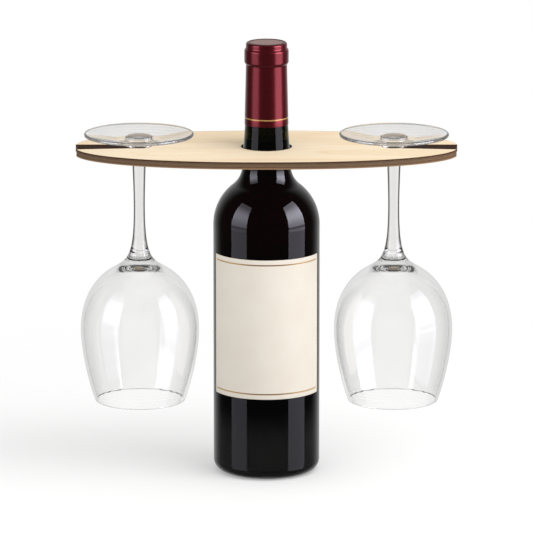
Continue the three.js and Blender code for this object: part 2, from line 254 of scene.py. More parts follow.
# %% [markdown]
# ## Bottle glass
#
# A moulded bottle has a punt in its base, a heel it stands on, a straight body, a shoulder that is one
# convex arc, a concave arc into the neck, and a neck that narrows slowly up to the ring under the lip.
# The arcs touch each other without a kink, so their centres follow from the radii. The inside is the
# same line moved inwards by the wall, which matters because the bare neck is see-through.

# %% Bottle profile
_, (BODY_RADIUS, _, BOTTLE_HEIGHT) = box_mm("bottle_glass")
(_, _, CAPSULE_BOTTOM), (_, _, CAPSULE_TOP) = box_mm("capsule_sleeve")
HEEL_RADIUS = 8.0
PUNT_HEIGHT = 14.0
BASE_RING_WIDTH = 2.5
SHOULDER_HEIGHT = 175.4
SHOULDER_RADIUS = 35.0
NECK_FILLET_RADIUS = 18.0
NECK_BASE_RADIUS = 16.85
NECK_TAPER = 0.0645
PUNT_STEPS = 16
HEEL_STEPS = 16
SHOULDER_STEPS = 40
FILLET_STEPS = 24

NECK_LEAN = np.arctan(NECK_TAPER)
SHOULDER_CENTRE = np.array([BODY_RADIUS - SHOULDER_RADIUS, SHOULDER_HEIGHT])
FILLET_AXIS = NECK_BASE_RADIUS + NECK_FILLET_RADIUS * np.cos(NECK_LEAN)
FILLET_RUN = FILLET_AXIS - SHOULDER_CENTRE[0]
FILLET_RISE = np.sqrt((SHOULDER_RADIUS + NECK_FILLET_RADIUS) ** 2 - FILLET_RUN**2)
FILLET_CENTRE = np.array([FILLET_AXIS, SHOULDER_HEIGHT + FILLET_RISE])
NECK_BASE = FILLET_CENTRE[1] - NECK_FILLET_RADIUS * np.sin(NECK_LEAN)


def neck_radius(height):
    """Radius of the slowly narrowing neck: what is left of the base radius after the taper."""
    return NECK_BASE_RADIUS - NECK_TAPER * (height - NECK_BASE)


def bottle_side(wall, floor, neck_end):
    """Punt, heel, body, shoulder and neck as one line, moved inwards by wall and upwards by floor.

    The parabola of the punt is followed by the heel's quarter circle, the shoulder's arc, the fillet's
    arc with the same slope at the touching point, and the straight neck.
    """
    heel_axis = BODY_RADIUS - HEEL_RADIUS
    heel = HEEL_RADIUS - wall
    turn = np.arctan2(FILLET_RISE, FILLET_RUN)
    fillet = arc(FILLET_CENTRE, NECK_FILLET_RADIUS + wall, turn + np.pi, NECK_LEAN + np.pi, FILLET_STEPS)
    parts = [
        dome(heel_axis - BASE_RING_WIDTH, floor, PUNT_HEIGHT, PUNT_STEPS),
        arc((heel_axis, floor + heel), heel, -QUARTER, 0.0, HEEL_STEPS),
        arc(SHOULDER_CENTRE, SHOULDER_RADIUS - wall, 0.0, turn, SHOULDER_STEPS),
        fillet[1:],
        [[neck_radius(neck_end) - wall / np.cos(NECK_LEAN), neck_end]],
    ]
    return np.concatenate(parts)


print("neck: from", NECK_BASE, "mm up, radius", neck_radius(CAPSULE_BOTTOM), "mm at the capsule's edge")

# %% [markdown]
# ## The mouth of the bottle
#
# Under the lip a bottle has a ring, left from the days when a string held the cork. The capsule follows
# the same line, so one function gives it for both, with an offset for the capsule's skin.

# %% Bottle mouth
NECK_TOP_RADIUS = 13.9
RING_RADIUS = 15.05
RING_HEIGHT = 8.4
RING_BEVEL = 1.6
LIP_RADIUS = 13.95
LIP_HEIGHT = 4.6
LIP_ROUND = 1.5
LIP_STEPS = 10
EDGE_EASE = 0.55


def mouth_side(offset, lift):
    """Neck from the capsule's edge, ring and lip, moved outwards by offset. The lip is raised by lift."""
    ring_top = BOTTLE_HEIGHT - LIP_HEIGHT
    ring_bottom = ring_top - RING_HEIGHT
    lip_centre = (LIP_RADIUS - LIP_ROUND, BOTTLE_HEIGHT - LIP_ROUND + lift)
    line = [
        (neck_radius(CAPSULE_BOTTOM) + offset, CAPSULE_BOTTOM),
        (NECK_TOP_RADIUS + offset, ring_bottom - RING_BEVEL),
        (RING_RADIUS + offset, ring_bottom),
        (RING_RADIUS + offset, ring_top),
        (LIP_RADIUS + offset, ring_top + RING_BEVEL),
        (LIP_RADIUS + offset, lip_centre[1]),
    ]
    lip = arc(lip_centre, LIP_ROUND + offset, 0.0, QUARTER, LIP_STEPS)
    return np.concatenate([eased(line, EDGE_EASE), lip[1:]])


print("mouth:", len(mouth_side(0.0, 0.0)), "points on its line")

# %% [markdown]
# ## Bottle, wine and cork
#
# The bottle is one closed line, outside and inside. The wine has a surface of its own that reaches just
# past the inner wall, as liquid wets glass: two faces in the same place would fight in the render. Its
# level climbs the wall in a small curve, the meniscus. The cork is a plain stopper.

# %% Bottle, wine and cork
(_, _, CORK_BOTTOM), (CORK_RADIUS, _, CORK_TOP) = box_mm("cork")
_, (_, _, FILL_HEIGHT) = box_mm("wine_fill")
GLASS_WALL = 2.2
BASE_THICKNESS = 4.0
BORE_RADIUS = 9.4
BORE_FLARE = 10.0
WINE_SINK = 0.05  # how far the wine reaches into the glass
MENISCUS = 1.2
MENISCUS_WIDTH = 3.0 * MENISCUS
MENISCUS_STEPS = 8
CORK_CHAMFER = 1.0
BOTTLE_AROUND = 192
CORK_AROUND = 96


def bottle_profile():
    """Outside from the punt to the lip, then the bore and the inside back down to the axis."""
    outside = bottle_side(0.0, 0.0, CAPSULE_BOTTOM)
    bore = [[BORE_RADIUS, BOTTLE_HEIGHT], [BORE_RADIUS, CORK_BOTTOM]]
    inside = bottle_side(GLASS_WALL, BASE_THICKNESS, CORK_BOTTOM - BORE_FLARE)
    return np.concatenate([outside, mouth_side(0.0, 0.0)[1:], bore, inside[::-1]])


def wine_profile():
    """The bottle's inside up to the fill level, whose surface climbs the wall in a Bezier curve."""
    side = bottle_side(GLASS_WALL - WINE_SINK, BASE_THICKNESS - WINE_SINK, FILL_HEIGHT)
    wall = side[-1, 0]
    level = FILL_HEIGHT - MENISCUS
    climb = [(wall, FILL_HEIGHT), (wall - MENISCUS, level), (wall - MENISCUS_WIDTH, level)]
    return np.concatenate([side, bezier(climb, MENISCUS_STEPS)[1:], [[0.0, level]]])


def cork_profile():
    """A straight stopper with a small rounded edge at both ends."""
    line = [(0.0, CORK_BOTTOM), (CORK_RADIUS, CORK_BOTTOM), (CORK_RADIUS, CORK_TOP), (0.0, CORK_TOP)]
    return eased(line, CORK_CHAMFER)


bottle_glass = surface_piece(
    "bottle", *turned(bottle_profile(), BOTTLE_AROUND), "bottle", "bottle_glass", "bottle_glass"
)
wine = surface_piece("wine", *turned(wine_profile(), BOTTLE_AROUND), "bottle", "wine_fill", "wine")
cork = surface_piece("stopper", *turned(cork_profile(), CORK_AROUND), "bottle", "cork", "cork")

# %% [markdown]
# ## Capsule
#
# The capsule is a thin sleeve shrunk over the mouth, so its outside is the line of the neck, ring and
# lip moved outwards by its skin. It turns in over a loose disc on top. The sleeve is a closed band: up
# along the outside, in over the disc and back down inside.

# %% Capsule sleeve and disc
(_, _, DISC_BOTTOM), (DISC_RADIUS, _, DISC_TOP) = box_mm("capsule_top_disc")
CAPSULE_SKIN = 0.25
CAPSULE_GAP = 0.05
CAPSULE_LIP_WIDTH = 0.7
DISC_DISH = 0.25
HEM_STEPS = 6
DISC_STEPS = 12


def capsule_profile():
    """Outside up, rim over the disc, inside down, and back to the start. Rim and hem are half circles."""
    lift = CAPSULE_TOP - BOTTLE_HEIGHT - CAPSULE_GAP - CAPSULE_SKIN
    outside = mouth_side(CAPSULE_GAP + CAPSULE_SKIN, lift)
    inside = mouth_side(CAPSULE_GAP, lift)
    half_skin = CAPSULE_SKIN / 2.0
    rim_centre = (DISC_RADIUS - CAPSULE_LIP_WIDTH, (outside[-1, 1] + inside[-1, 1]) / 2.0)
    rim = arc(rim_centre, half_skin, QUARTER, 3.0 * QUARTER, HEM_STEPS)
    hem_centre = ((outside[0, 0] + inside[0, 0]) / 2.0, CAPSULE_BOTTOM + half_skin)
    hem = arc(hem_centre, half_skin, -np.pi, 0.0, HEM_STEPS)
    return np.concatenate([outside[1:], rim, inside[:0:-1], hem, outside[1:2]])


def disc_profile():
    """A thin disc whose upper face is dished a little towards its middle."""
    low = [(0.0, DISC_BOTTOM), (DISC_RADIUS, DISC_BOTTOM), (DISC_RADIUS, DISC_TOP - DISC_DISH / 2.0)]
    return np.concatenate([low, dome(DISC_RADIUS, DISC_TOP, -DISC_DISH, DISC_STEPS)[::-1]])


capsule = surface_piece(
    "capsule", *turned(capsule_profile(), BOTTLE_AROUND), "bottle", "capsule_sleeve", "capsule"
)
capsule_disc = surface_piece(
    "capsule_disc", *turned(disc_profile(), BOTTLE_AROUND), "bottle", "capsule_top_disc", "capsule_disc"
)

# %% [markdown]
# ## Label
#
# The label is a sheet of paper bent round the front of the body. Its upright section is a thin
# rectangle with soft edges, carried along an arc and closed at both ends. A UV map holds the place on
# the paper in millimetres, so that the printed lines keep their width.

# %% Label sheet
(_, LABEL_FRONT, LABEL_BOTTOM), (_, _, LABEL_TOP) = box_mm("front_label")
LABEL_OUTER = -LABEL_FRONT  # radius of the paper's outer face
LABEL_PAPER = 0.25
LABEL_HALF_ANGLE = np.radians(70.0)
LABEL_EASE = 0.1
LABEL_EASE_STEPS = 3
LABEL_ACROSS = 140
LABEL_UP = 40


def label_section():
    """The section walked round: up the outer face, over the top edge, down the inner face and back."""
    inner = LABEL_OUTER - LABEL_PAPER
    low = LABEL_BOTTOM + LABEL_EASE
    high = LABEL_TOP - LABEL_EASE
    face = np.linspace(low, high, LABEL_UP + 1)
    front = np.column_stack([np.full_like(face, LABEL_OUTER), face])
    over_top = [(LABEL_OUTER, high), (LABEL_OUTER, LABEL_TOP), (inner, LABEL_TOP)]
    under_bottom = [(inner, LABEL_BOTTOM), (LABEL_OUTER, LABEL_BOTTOM), (LABEL_OUTER, low)]
    top = eased(over_top, LABEL_EASE, LABEL_EASE_STEPS)
    bottom = eased(under_bottom, LABEL_EASE, LABEL_EASE_STEPS)
    return np.concatenate([front, top[2:], bottom[:-2]])


def label_sheet():
    """Points, faces and paper coordinates of the label: its section carried from side to side."""
    angle = np.linspace(-LABEL_HALF_ANGLE, LABEL_HALF_ANGLE, LABEL_ACROSS + 1)
    points = carried(label_section(), angle)
    index = numbered(points)
    high = np.roll(index, -1, axis=0)
    quads = quads_of(index[:, :-1], index[:, 1:], high[:, 1:], high[:, :-1])
    caps = [index[:, 0].tolist(), index[::-1, -1].tolist()]
    across = np.broadcast_to(LABEL_OUTER * angle, index.shape)
    paper = np.stack([across, points[..., 2] - LABEL_BOTTOM], axis=-1)
    return points.reshape(-1, 3), quads.tolist() + caps, paper.reshape(-1, 2)


label_points, label_faces, label_paper = label_sheet()
label = surface_piece("label", label_points, label_faces, "bottle", "front_label", "label")
corner_points = np.zeros(len(label.data.loops), np.int32)
label.data.loops.foreach_get("vertex_index", corner_points)
paper_map = label.data.uv_layers.new(name="paper_mm")
paper_map.data.foreach_set("uv", label_paper[corner_points].astype(np.float32).ravel())

# %% [markdown]
# ## Holder
#
# The holder is a sheet of plywood cut by laser: a face veneer, a core and another face veneer, all with
# the same outline. One face is two curves over the same x: the edge of the oval outside, and inside the
# slot's wall, its round end, the middle line and the hole. The slots widen to their mouths and turn
# a little to the front. The oval and the slots' walls come first.

# %% Oval and slots
(_, _, CORE_BOTTOM), (_, BOARD_HALF_DEPTH, CORE_TOP) = box_mm("holder_core_ply")
(SEAT_LEFT, _, RIM_PLANE), (SEAT_RIGHT, _, FOOT_PLANE) = box_mm("wine_glass_right")
BOARD_HALF_LENGTH = 132.7  # of the whole oval, whose tips are cut away by the slots
BOARD_FULLNESS = 2.25
SEAT_X = (SEAT_LEFT + SEAT_RIGHT) / 2.0
SLOT_LENGTH = BOARD_HALF_LENGTH - SEAT_X
SLOT_SEAT_RADIUS = 6.3
SLOT_MOUTH_RADIUS = 8.5
SLOT_TILT = np.radians(3.25)
WALL_STEPS = 48
HALVINGS = 40


def oval_y(x):
    """Half depth of the oval at x, from |x / a|^n + |y / b|^n = 1."""
    share = np.clip(np.abs(x) / BOARD_HALF_LENGTH, 0.0, 1.0)
    return BOARD_HALF_DEPTH * (1.0 - share**BOARD_FULLNESS) ** (1.0 / BOARD_FULLNESS)


def slot_wall(side):
    """One wall of the right-hand slot, from the oval's edge in to the seat: straight in the slot's frame.

    The slot's frame has its origin at the seat and turns to the front by the tilt. side is -1 for the
    front wall and 1 for the back one. The outer end is where the wall meets the oval, found by halving.
    """
    along = np.array([np.cos(SLOT_TILT), -np.sin(SLOT_TILT)])
    out = np.array([np.sin(SLOT_TILT), np.cos(SLOT_TILT)]) * side
    widening = (SLOT_MOUTH_RADIUS - SLOT_SEAT_RADIUS) / SLOT_LENGTH

    def place(distance):
        reach = SLOT_SEAT_RADIUS + widening * distance
        return np.array([SEAT_X, 0.0]) + np.outer(distance, along) + np.outer(reach, out)

    near, far = 0.0, SLOT_LENGTH
    for _ in range(HALVINGS):
        middle = (near + far) / 2.0
        x, y = place(np.array([middle]))[0]
        near, far = (middle, far) if abs(y) < oval_y(x) else (near, middle)
    ease = np.sin(np.linspace(0.0, QUARTER, WALL_STEPS + 1))
    return place(near * (1.0 - ease))


print("slot walls end at", slot_wall(-1)[0].round(2), slot_wall(1)[0].round(2))

# %% [markdown]
# The inner edge of half a face runs from one mouth to the other. It follows the cuts, and between
# a slot and the hole the middle line, where the two halves meet.

# %% Inner edge
HOLE_RADIUS = 16.55
SEAT_STEPS = 20
BRIDGE_STEPS = 40
HOLE_STEPS = 96


def inner_edge(side):
    """Slot wall, half of the seat, middle line, half of the hole, and the same mirrored to the left.

    Returns the points from right to left, and which of them lie on a cut.
    """
    seat = arc((SEAT_X, 0.0), SLOT_SEAT_RADIUS, QUARTER * side - SLOT_TILT, np.pi * side, SEAT_STEPS)
    bridge_x = np.linspace(SEAT_X - SLOT_SEAT_RADIUS, HOLE_RADIUS, BRIDGE_STEPS + 1)[1:-1]
    bridge = np.column_stack([bridge_x, np.zeros_like(bridge_x)])
    hole = arc((0.0, 0.0), HOLE_RADIUS, 0.0, np.pi * side, HOLE_STEPS)
    right = np.concatenate([slot_wall(side), seat[1:], bridge])
    left = right[::-1] * np.array([-1.0, 1.0])
    cut = np.arange(len(right)) < len(right) - len(bridge)
    return np.concatenate([right, hole, left]), np.concatenate([cut, np.ones(len(hole), bool), cut[::-1]])


print("inner edge:", len(inner_edge(1)[0]), "points")

# %% [markdown]
# ## Face of a ply
#
# Straight lines between the two curves fill a face with a clean grid, where a filled outline would give
# long thin triangles. The laser browns the wood, so each point also gets its distance to the nearest
# cut, and a mark where it lies on a slot or the hole.

# %% Face of a ply
FACE_STEPS = 26


def half_face(side):
    """Grid over the front (-1) or back (1) half of the board, with each point's distance to a cut.

    A row is the straight line from the inner edge to the oval at the same x, with cosine steps that are
    short at both ends.
    """
    inner, cut = inner_edge(side)
    outer = np.column_stack([inner[:, 0], side * oval_y(inner[:, 0])])
    outer[[0, -1]] = inner[[0, -1]]
    share = (1.0 - np.cos(np.linspace(0.0, np.pi, FACE_STEPS + 1))) / 2.0
    grid = inner[:, None] + (outer - inner)[:, None] * share[None, :, None]
    to_outer = np.linalg.norm(grid - outer[:, None], axis=-1)
    to_inner = np.linalg.norm(grid - inner[:, None], axis=-1)
    to_inner[~cut] = BOARD_HALF_DEPTH
    in_cut = np.zeros(grid.shape[:2])
    in_cut[cut, 0] = 1.0
    index = numbered(grid)
    quads = quads_of(index[:-1, :-1], index[1:, :-1], index[1:, 1:], index[:-1, 1:])
    turned_up = quads if side < 0 else quads[:, ::-1]
    return grid.reshape(-1, 2), turned_up, np.minimum(to_outer, to_inner).ravel(), in_cut.ravel()


print("half a face:", len(half_face(1)[1]), "faces")

# %% [markdown]
# ## Plies of the holder
#
# Two half faces are welded along the middle line. Solidify makes them as thick as the ply, and Bevel
# takes off the sharp edge. Modifiers suit a flat sheet well, because the face stays a simple grid. What
# was measured for each point goes along as attributes of the mesh.

# %% Holder plies
PLY_EASE = 0.18
PLY_EASE_SEGMENTS = 2
PLY_EASE_ANGLE = np.radians(50.0)
WELD_REACH = 0.001


def ply_piece(name, node, slot):
    """One ply of the holder: both half faces at its upper side, welded, thickened downwards and eased."""
    low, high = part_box(node)
    front, front_faces, *front_values = half_face(-1)
    back, back_faces, *back_values = half_face(1)
    plan = np.concatenate([front, back])
    points = np.column_stack([plan, np.full(len(plan), high.z / MM)])
    faces = np.concatenate([front_faces, back_faces + len(front)])
    piece = surface_piece(name, points, faces.tolist(), "holder", node, slot)
    for value_name, *values in zip(("cut_mm", "in_cut"), front_values, back_values):
        attribute = piece.data.attributes.new(value_name, "FLOAT", "POINT")
        attribute.data.foreach_set("value", np.concatenate(values).astype(np.float32))
    weld = piece.modifiers.new("weld", "WELD")
    weld.merge_threshold = WELD_REACH * MM
    thicken = piece.modifiers.new("thicken", "SOLIDIFY")
    thicken.thickness = high.z - low.z
    thicken.offset = -1.0
    ease = piece.modifiers.new("ease", "BEVEL")
    ease.width = PLY_EASE * MM
    ease.segments = PLY_EASE_SEGMENTS
    ease.limit_method = "ANGLE"
    ease.angle_limit = PLY_EASE_ANGLE
    ease.harden_normals = True
    piece.visible_glossy = False  # keeps the board's pale faces out of the bottle's dark reflections
    return piece


holder_top = ply_piece("holder_top", "holder_top_veneer", "veneer")
holder_core = ply_piece("holder_core", "holder_core_ply", "core_ply")
holder_bottom = ply_piece("holder_bottom", "holder_bottom_veneer", "veneer")

# %% [markdown]
# ## Bowl of the wine glasses
#
# A blown glass is one piece. Its line is written as it stands on a table, and turned over at the end,
# because it hangs by its foot. Inside and outside of the bowl are two curves of one family, so the wall
# thickens smoothly to the floor. A formula keeps them alike better than two hand-drawn curves would.

# %% Bowl
GLASS_HEIGHT = FOOT_PLANE - RIM_PLANE
BOWL_RADIUS = 41.2
BELLY_HEIGHT = 139.6
BOWL_TIP_HEIGHT = 91.0
BOWL_LOWER_FULLNESS = 2.2
BOWL_LOWER_EASE = 0.1
BOWL_UPPER_FULLNESS = 1.45
BOWL_UPPER_EASE = 0.2
BOWL_STEP_POWER = 1.6
RIM_RADIUS = 31.3


def soft_power(share, power, ease):
    """share to a power between 0 and 1, but round at 0: share is replaced by sqrt(share^2 + ease^2)."""
    start = ease**power
    return ((share**2 + ease**2) ** (power / 2.0) - start) / ((1.0 + ease**2) ** (power / 2.0) - start)


def bowl_radius(height, widest=BOWL_RADIUS, tip=BOWL_TIP_HEIGHT, rim=RIM_RADIUS):
    """Radius of the bowl: w sqrt(1 - d^n) below the belly, with d the share of the way down to the tip.

    Above the belly it is w sqrt(1 - k u^m), with u the share of the way up to the rim, and k from the
    rim's radius. Both powers are eased at the belly, so that no crease shows there.
    """
    drop = np.clip((BELLY_HEIGHT - height) / (BELLY_HEIGHT - tip), 0.0, 1.0)
    rise = np.clip((height - BELLY_HEIGHT) / (GLASS_HEIGHT - BELLY_HEIGHT), 0.0, 1.0)
    lower = soft_power(drop, BOWL_LOWER_FULLNESS, BOWL_LOWER_EASE)
    upper = (1.0 - (rim / widest) ** 2) * soft_power(rise, BOWL_UPPER_FULLNESS, BOWL_UPPER_EASE)
    return widest * np.sqrt(1.0 - lower - upper)


def bowl_side(start, steps, *sizes):
    """The bowl's line from one height to the rim, with short steps low down, where it curves most."""
    share = np.linspace(0.0, 1.0, steps + 1) ** BOWL_STEP_POWER
    height = start + (GLASS_HEIGHT - start) * share
    return np.column_stack([bowl_radius(height, *sizes), height])


print("bowl: radius", bowl_radius(BELLY_HEIGHT), "at the belly,", bowl_radius(GLASS_HEIGHT), "at the rim")

# %% [markdown]
# ## Foot of the wine glasses
#
# The foot is a cone with a hollow underside. In the middle of the hollow is a round boss, and on the
# other side a hub, on which the hung glass rests. A concave turn leads from the hub into the stem.
# A few rounded corners give all of it but the turn, which is a Bezier curve.

# %% Foot
FOOT_RADIUS = 38.0
FOOT_EDGE = 2.4
FOOT_HOLLOW = 5.4
FOOT_CONE_HEIGHT = 7.4
HOLLOW_FLOOR = 14.2
HOLLOW_EASE = 3.0
BOSS_HEIGHT = 2.1  # of the boss above the table that the glass would stand on
BOSS_RADIUS = 9.4
BOSS_DRAFT = 0.4
BOSS_ROUND = 0.7
HUB_RADIUS = 9.2
HUB_END = FOOT_CONE_HEIGHT + 1.93
HUB_ROUND = 0.5
FLARE_START = 6.0
FLARE_RADIUS = 4.9
FLARE_RISE = 3.57
FLARE_CORNER = (0.2, 0.4)
BOSS_STEPS = 8
HOLLOW_STEPS = 16
FOOT_EDGE_STEPS = 12
FLARE_STEPS = 20


def foot_side():
    """Hollow underside with a boss, round edge, cone, and a hub from which the stem springs."""
    edge = FOOT_EDGE / 2.0
    flat = FOOT_RADIUS - edge
    boss = [
        (0.0, BOSS_HEIGHT),
        (BOSS_RADIUS, BOSS_HEIGHT),
        (BOSS_RADIUS + BOSS_DRAFT, FOOT_HOLLOW),
        (HOLLOW_FLOOR - HOLLOW_EASE, FOOT_HOLLOW),
    ]
    line = [
        (flat, FOOT_EDGE),
        (HUB_RADIUS, FOOT_CONE_HEIGHT),
        (HUB_RADIUS, HUB_END),
        (FLARE_START, HUB_END),
    ]
    corner = (FLARE_RADIUS + FLARE_CORNER[0], HUB_END + FLARE_CORNER[1])
    hollow = [boss[-1], (HOLLOW_FLOOR, FOOT_HOLLOW), (flat, 0.0)]
    parts = [
        eased(boss, BOSS_ROUND, BOSS_STEPS)[:-1],
        eased(hollow, HOLLOW_EASE, HOLLOW_STEPS)[:-1],
        arc((flat, edge), edge, -QUARTER, QUARTER, FOOT_EDGE_STEPS),
        eased(line, HUB_ROUND)[1:-1],
        bezier([line[-1], corner, (FLARE_RADIUS, HUB_END + FLARE_RISE)], FLARE_STEPS),
    ]
    return np.concatenate(parts)


print("foot:", len(foot_side()), "points on its line")

# %% [markdown]
# ## Stem
#
# The stem is drawn out of the bowl while the glass is hot, so it is thinnest at about a third of its
# length and runs into the bowl without a kink. Two Bezier curves do that, because their end controls
# set the slopes.

# %% Stem
STEM_RADIUS = 3.85
STEM_WAIST_HEIGHT = 52.0
STEM_FOOT_PULL = (-0.2, 10.0)
STEM_WAIST_PULL = (0.0, 14.0)
STEM_BOWL_PULL = 6.0
BOWL_JOIN_HEIGHT = BOWL_TIP_HEIGHT + 5.6
BOWL_JOIN_PULL = 12.8
BOWL_JOIN_STEP = 1.0  # between the two heights that give the bowl's slope
LOWER_STEM_STEPS = 24
UPPER_STEM_STEPS = 40


def stem_side():
    """Two Bezier curves that meet upright at the waist. The upper one joins the bowl at its slope."""
    start = np.array([FLARE_RADIUS, HUB_END + FLARE_RISE])
    waist = np.array([STEM_RADIUS, STEM_WAIST_HEIGHT])
    lower = bezier([start, start + STEM_FOOT_PULL, waist - STEM_WAIST_PULL, waist], LOWER_STEM_STEPS)
    heights = np.array([BOWL_JOIN_HEIGHT, BOWL_JOIN_HEIGHT + BOWL_JOIN_STEP])
    join, above = np.column_stack([bowl_radius(heights), heights])
    slope = (above - join) / np.linalg.norm(above - join)
    thin = (STEM_RADIUS, BOWL_JOIN_HEIGHT - STEM_BOWL_PULL)
    upper = bezier([waist, thin, join - slope * BOWL_JOIN_PULL, join], UPPER_STEM_STEPS)
    return np.concatenate([lower[1:], upper[1:]])


print("stem:", len(stem_side()), "points on its line")

# %% [markdown]
# ## The hung glasses
#
# Foot, stem, bowl and a round rim make one closed line. Both glasses are the same, turned upside down
# and moved to their seats. Clear glass throws hardly any shadow, and a ray tracer would need many rays
# to find that out, so the glasses are left out of shadows altogether.

# %% Glasses
BOWL_FLOOR_HEIGHT = BOWL_TIP_HEIGHT + 4.3
BOWL_WALL = 1.4
GLASS_AROUND = 160
OUTSIDE_STEPS = 56
INSIDE_STEPS = 64
RIM_STEPS = 10


def glass_profile():
    """Foot, stem and outside of the bowl, a round rim, and the inside back to the axis."""
    inner_sizes = (BOWL_RADIUS - BOWL_WALL, BOWL_FLOOR_HEIGHT, RIM_RADIUS - BOWL_WALL)
    outside = bowl_side(BOWL_JOIN_HEIGHT, OUTSIDE_STEPS)
    inside = bowl_side(BOWL_FLOOR_HEIGHT, INSIDE_STEPS, *inner_sizes)
    rim = bezier([outside[-2], outside[-1], inside[-1], inside[-2]], RIM_STEPS)
    return np.concatenate([foot_side(), stem_side(), outside[1:-2], rim, inside[-3::-1]])


def hung_glass(name, node, body, seat_x):
    """The turned glass, upside down: a half turn about X through the foot, moved to its seat."""
    points, faces = turned(glass_profile(), GLASS_AROUND)
    hung = np.column_stack([points[:, 0] + seat_x, -points[:, 1], FOOT_PLANE - points[:, 2]])
    glass = surface_piece(name, hung, faces, body, node, "clear_glass")
    glass.visible_shadow = False
    glass.visible_diffuse = False
    return glass


glass_left = hung_glass("glass_left", "wine_glass_left", "left_glass", -SEAT_X)
glass_right = hung_glass("glass_right", "wine_glass_right", "right_glass", SEAT_X)

# %% [markdown]
# ## Shader maths as Python
#
# A pattern is arithmetic on places, and a node editor is a slow way to write arithmetic. One small
# class wraps an output socket, so that adding or multiplying two of them adds the Math node.


# %% Sockets as numbers
class Signal:
    """A shader socket that carries a number and can be used in sums."""

    def __init__(self, finish, socket):
        self.finish = finish
        self.socket = socket

    def maths(self, operation, first, second=None):
        """A Math node on one or two numbers."""
        sockets = {0: first} if second is None else {0: first, 1: second}
        return self.finish.node("ShaderNodeMath", {"operation": operation}, sockets)

    def __add__(self, other):
        return self.maths("ADD", self, other)

    __radd__ = __add__

    def __mul__(self, other):
        return self.maths("MULTIPLY", self, other)

    __rmul__ = __mul__

    def __sub__(self, other):
        return self.maths("SUBTRACT", self, other)

    def __rsub__(self, other):
        return self.maths("SUBTRACT", other, self)

    def __abs__(self):
        return self.maths("ABSOLUTE", self)

    def bigger(self, other):
        """The bigger one of two numbers."""
        return self.maths("MAXIMUM", self, other)

    def folded(self, size):
        """Runs up from 0 to size, back down to 0, and so on."""
        return self.maths("PINGPONG", self, size)

    def rising(self, low, high):
        """0 below low, 1 above high, and a smooth step between."""
        settings = {"interpolation_type": "SMOOTHSTEP"}
        return self.finish.node("ShaderNodeMapRange", settings, {0: self, 1: low, 2: high})

    def falling(self, low, high):
        """1 below low, 0 above high, and a smooth step between."""
        return 1.0 - self.rising(low, high)

    def at_least(self, count):
        """1 where a whole number is as big as count, and 0 elsewhere."""
        return self.rising(count - 0.6, count - 0.4)


print("a socket can also be", [name for name in vars(Signal) if not name.startswith("_")])

# %% [markdown]
# ## A node tree that is filled by calls
#
# Every node comes from a single method that sets its options first and then its sockets, where a number
# or a colour is written into the socket and a signal is linked to it. The other methods are short names
# for places, lengths, noise, and what is known of a ray.


# %% Node trees
class NodeTree:
    """A node tree with short ways to write numbers and vectors."""

    def __init__(self, tree):
        self.tree = tree
        self.tree.nodes.clear()

    def node(self, kind, settings=None, sockets=None, out=0):
        """Adds a node, sets its options and then its sockets, and returns one output."""
        made = self.tree.nodes.new(kind)
        for option, value in (settings or {}).items():
            setattr(made, option, value)
        for key, value in (sockets or {}).items():
            if isinstance(value, Signal):
                self.tree.links.new(value.socket, made.inputs[key])
            else:
                made.inputs[key].default_value = value
        return Signal(self, made.outputs[out]) if made.outputs else None

    def split(self, vector):
        """The x, y and z of a vector."""
        parts = self.node("ShaderNodeSeparateXYZ", None, {0: vector}).socket.node
        return [Signal(self, parts.outputs[axis]) for axis in "XYZ"]

    def place(self):
        """Object coordinates in millimetres, as a vector and as x, y and z."""
        metres = self.node("ShaderNodeTexCoord", out="Object")
        vector = self.node("ShaderNodeVectorMath", {"operation": "SCALE"}, {0: metres, "Scale": 1.0 / MM})
        return vector, *self.split(vector)

    def length(self, x, y):
        """Length of a flat vector: the root of x * x + y * y."""
        flat = self.node("ShaderNodeCombineXYZ", None, {0: x, 1: y})
        return self.node("ShaderNodeVectorMath", {"operation": "LENGTH"}, {0: flat}, out="Value")

    def stretched(self, vector, factors):
        """A vector with each of its parts multiplied by its own factor."""
        return self.node("ShaderNodeVectorMath", {"operation": "MULTIPLY"}, {0: vector, 1: factors})

    def noise(self, vector, spots, detail=2.0, roughness=0.5, distortion=0.0):
        """Smooth noise around 0.5, with its spots per millimetre in one number or along x, y and z."""
        if np.ndim(spots):
            vector = self.stretched(vector, spots)
            spots = 1.0
        values = {"Scale": spots, "Detail": detail, "Roughness": roughness, "Distortion": distortion}
        return self.node("ShaderNodeTexNoise", None, {"Vector": vector, **values})

    def attribute(self, name):
        """A number kept with the mesh."""
        return self.node("ShaderNodeAttribute", {"attribute_name": name}, out="Fac")

    def path(self, name):
        """What is known of a ray on its way."""
        return self.node("ShaderNodeLightPath", out=name)

    def rays(self):
        """Shares of camera, matte, mirrored and see-through rays. See-through ones count as glossy too."""
        names = ("Is Camera Ray", "Is Diffuse Ray", "Is Glossy Ray", "Is Transmission Ray")
        camera, matte, glossy, clear = [self.path(name) for name in names]
        return camera, matte, glossy * (1.0 - clear), clear


print("a tree gives", [name for name in vars(NodeTree) if not name.startswith("_")])

# %% [markdown]
# ## Finishes
#
# A finish is a node tree that ends in a shader. What it needs beyond numbers are mixed colours, bumps,
# the surface shader itself, and a way to let some rays pass as if nothing were there.


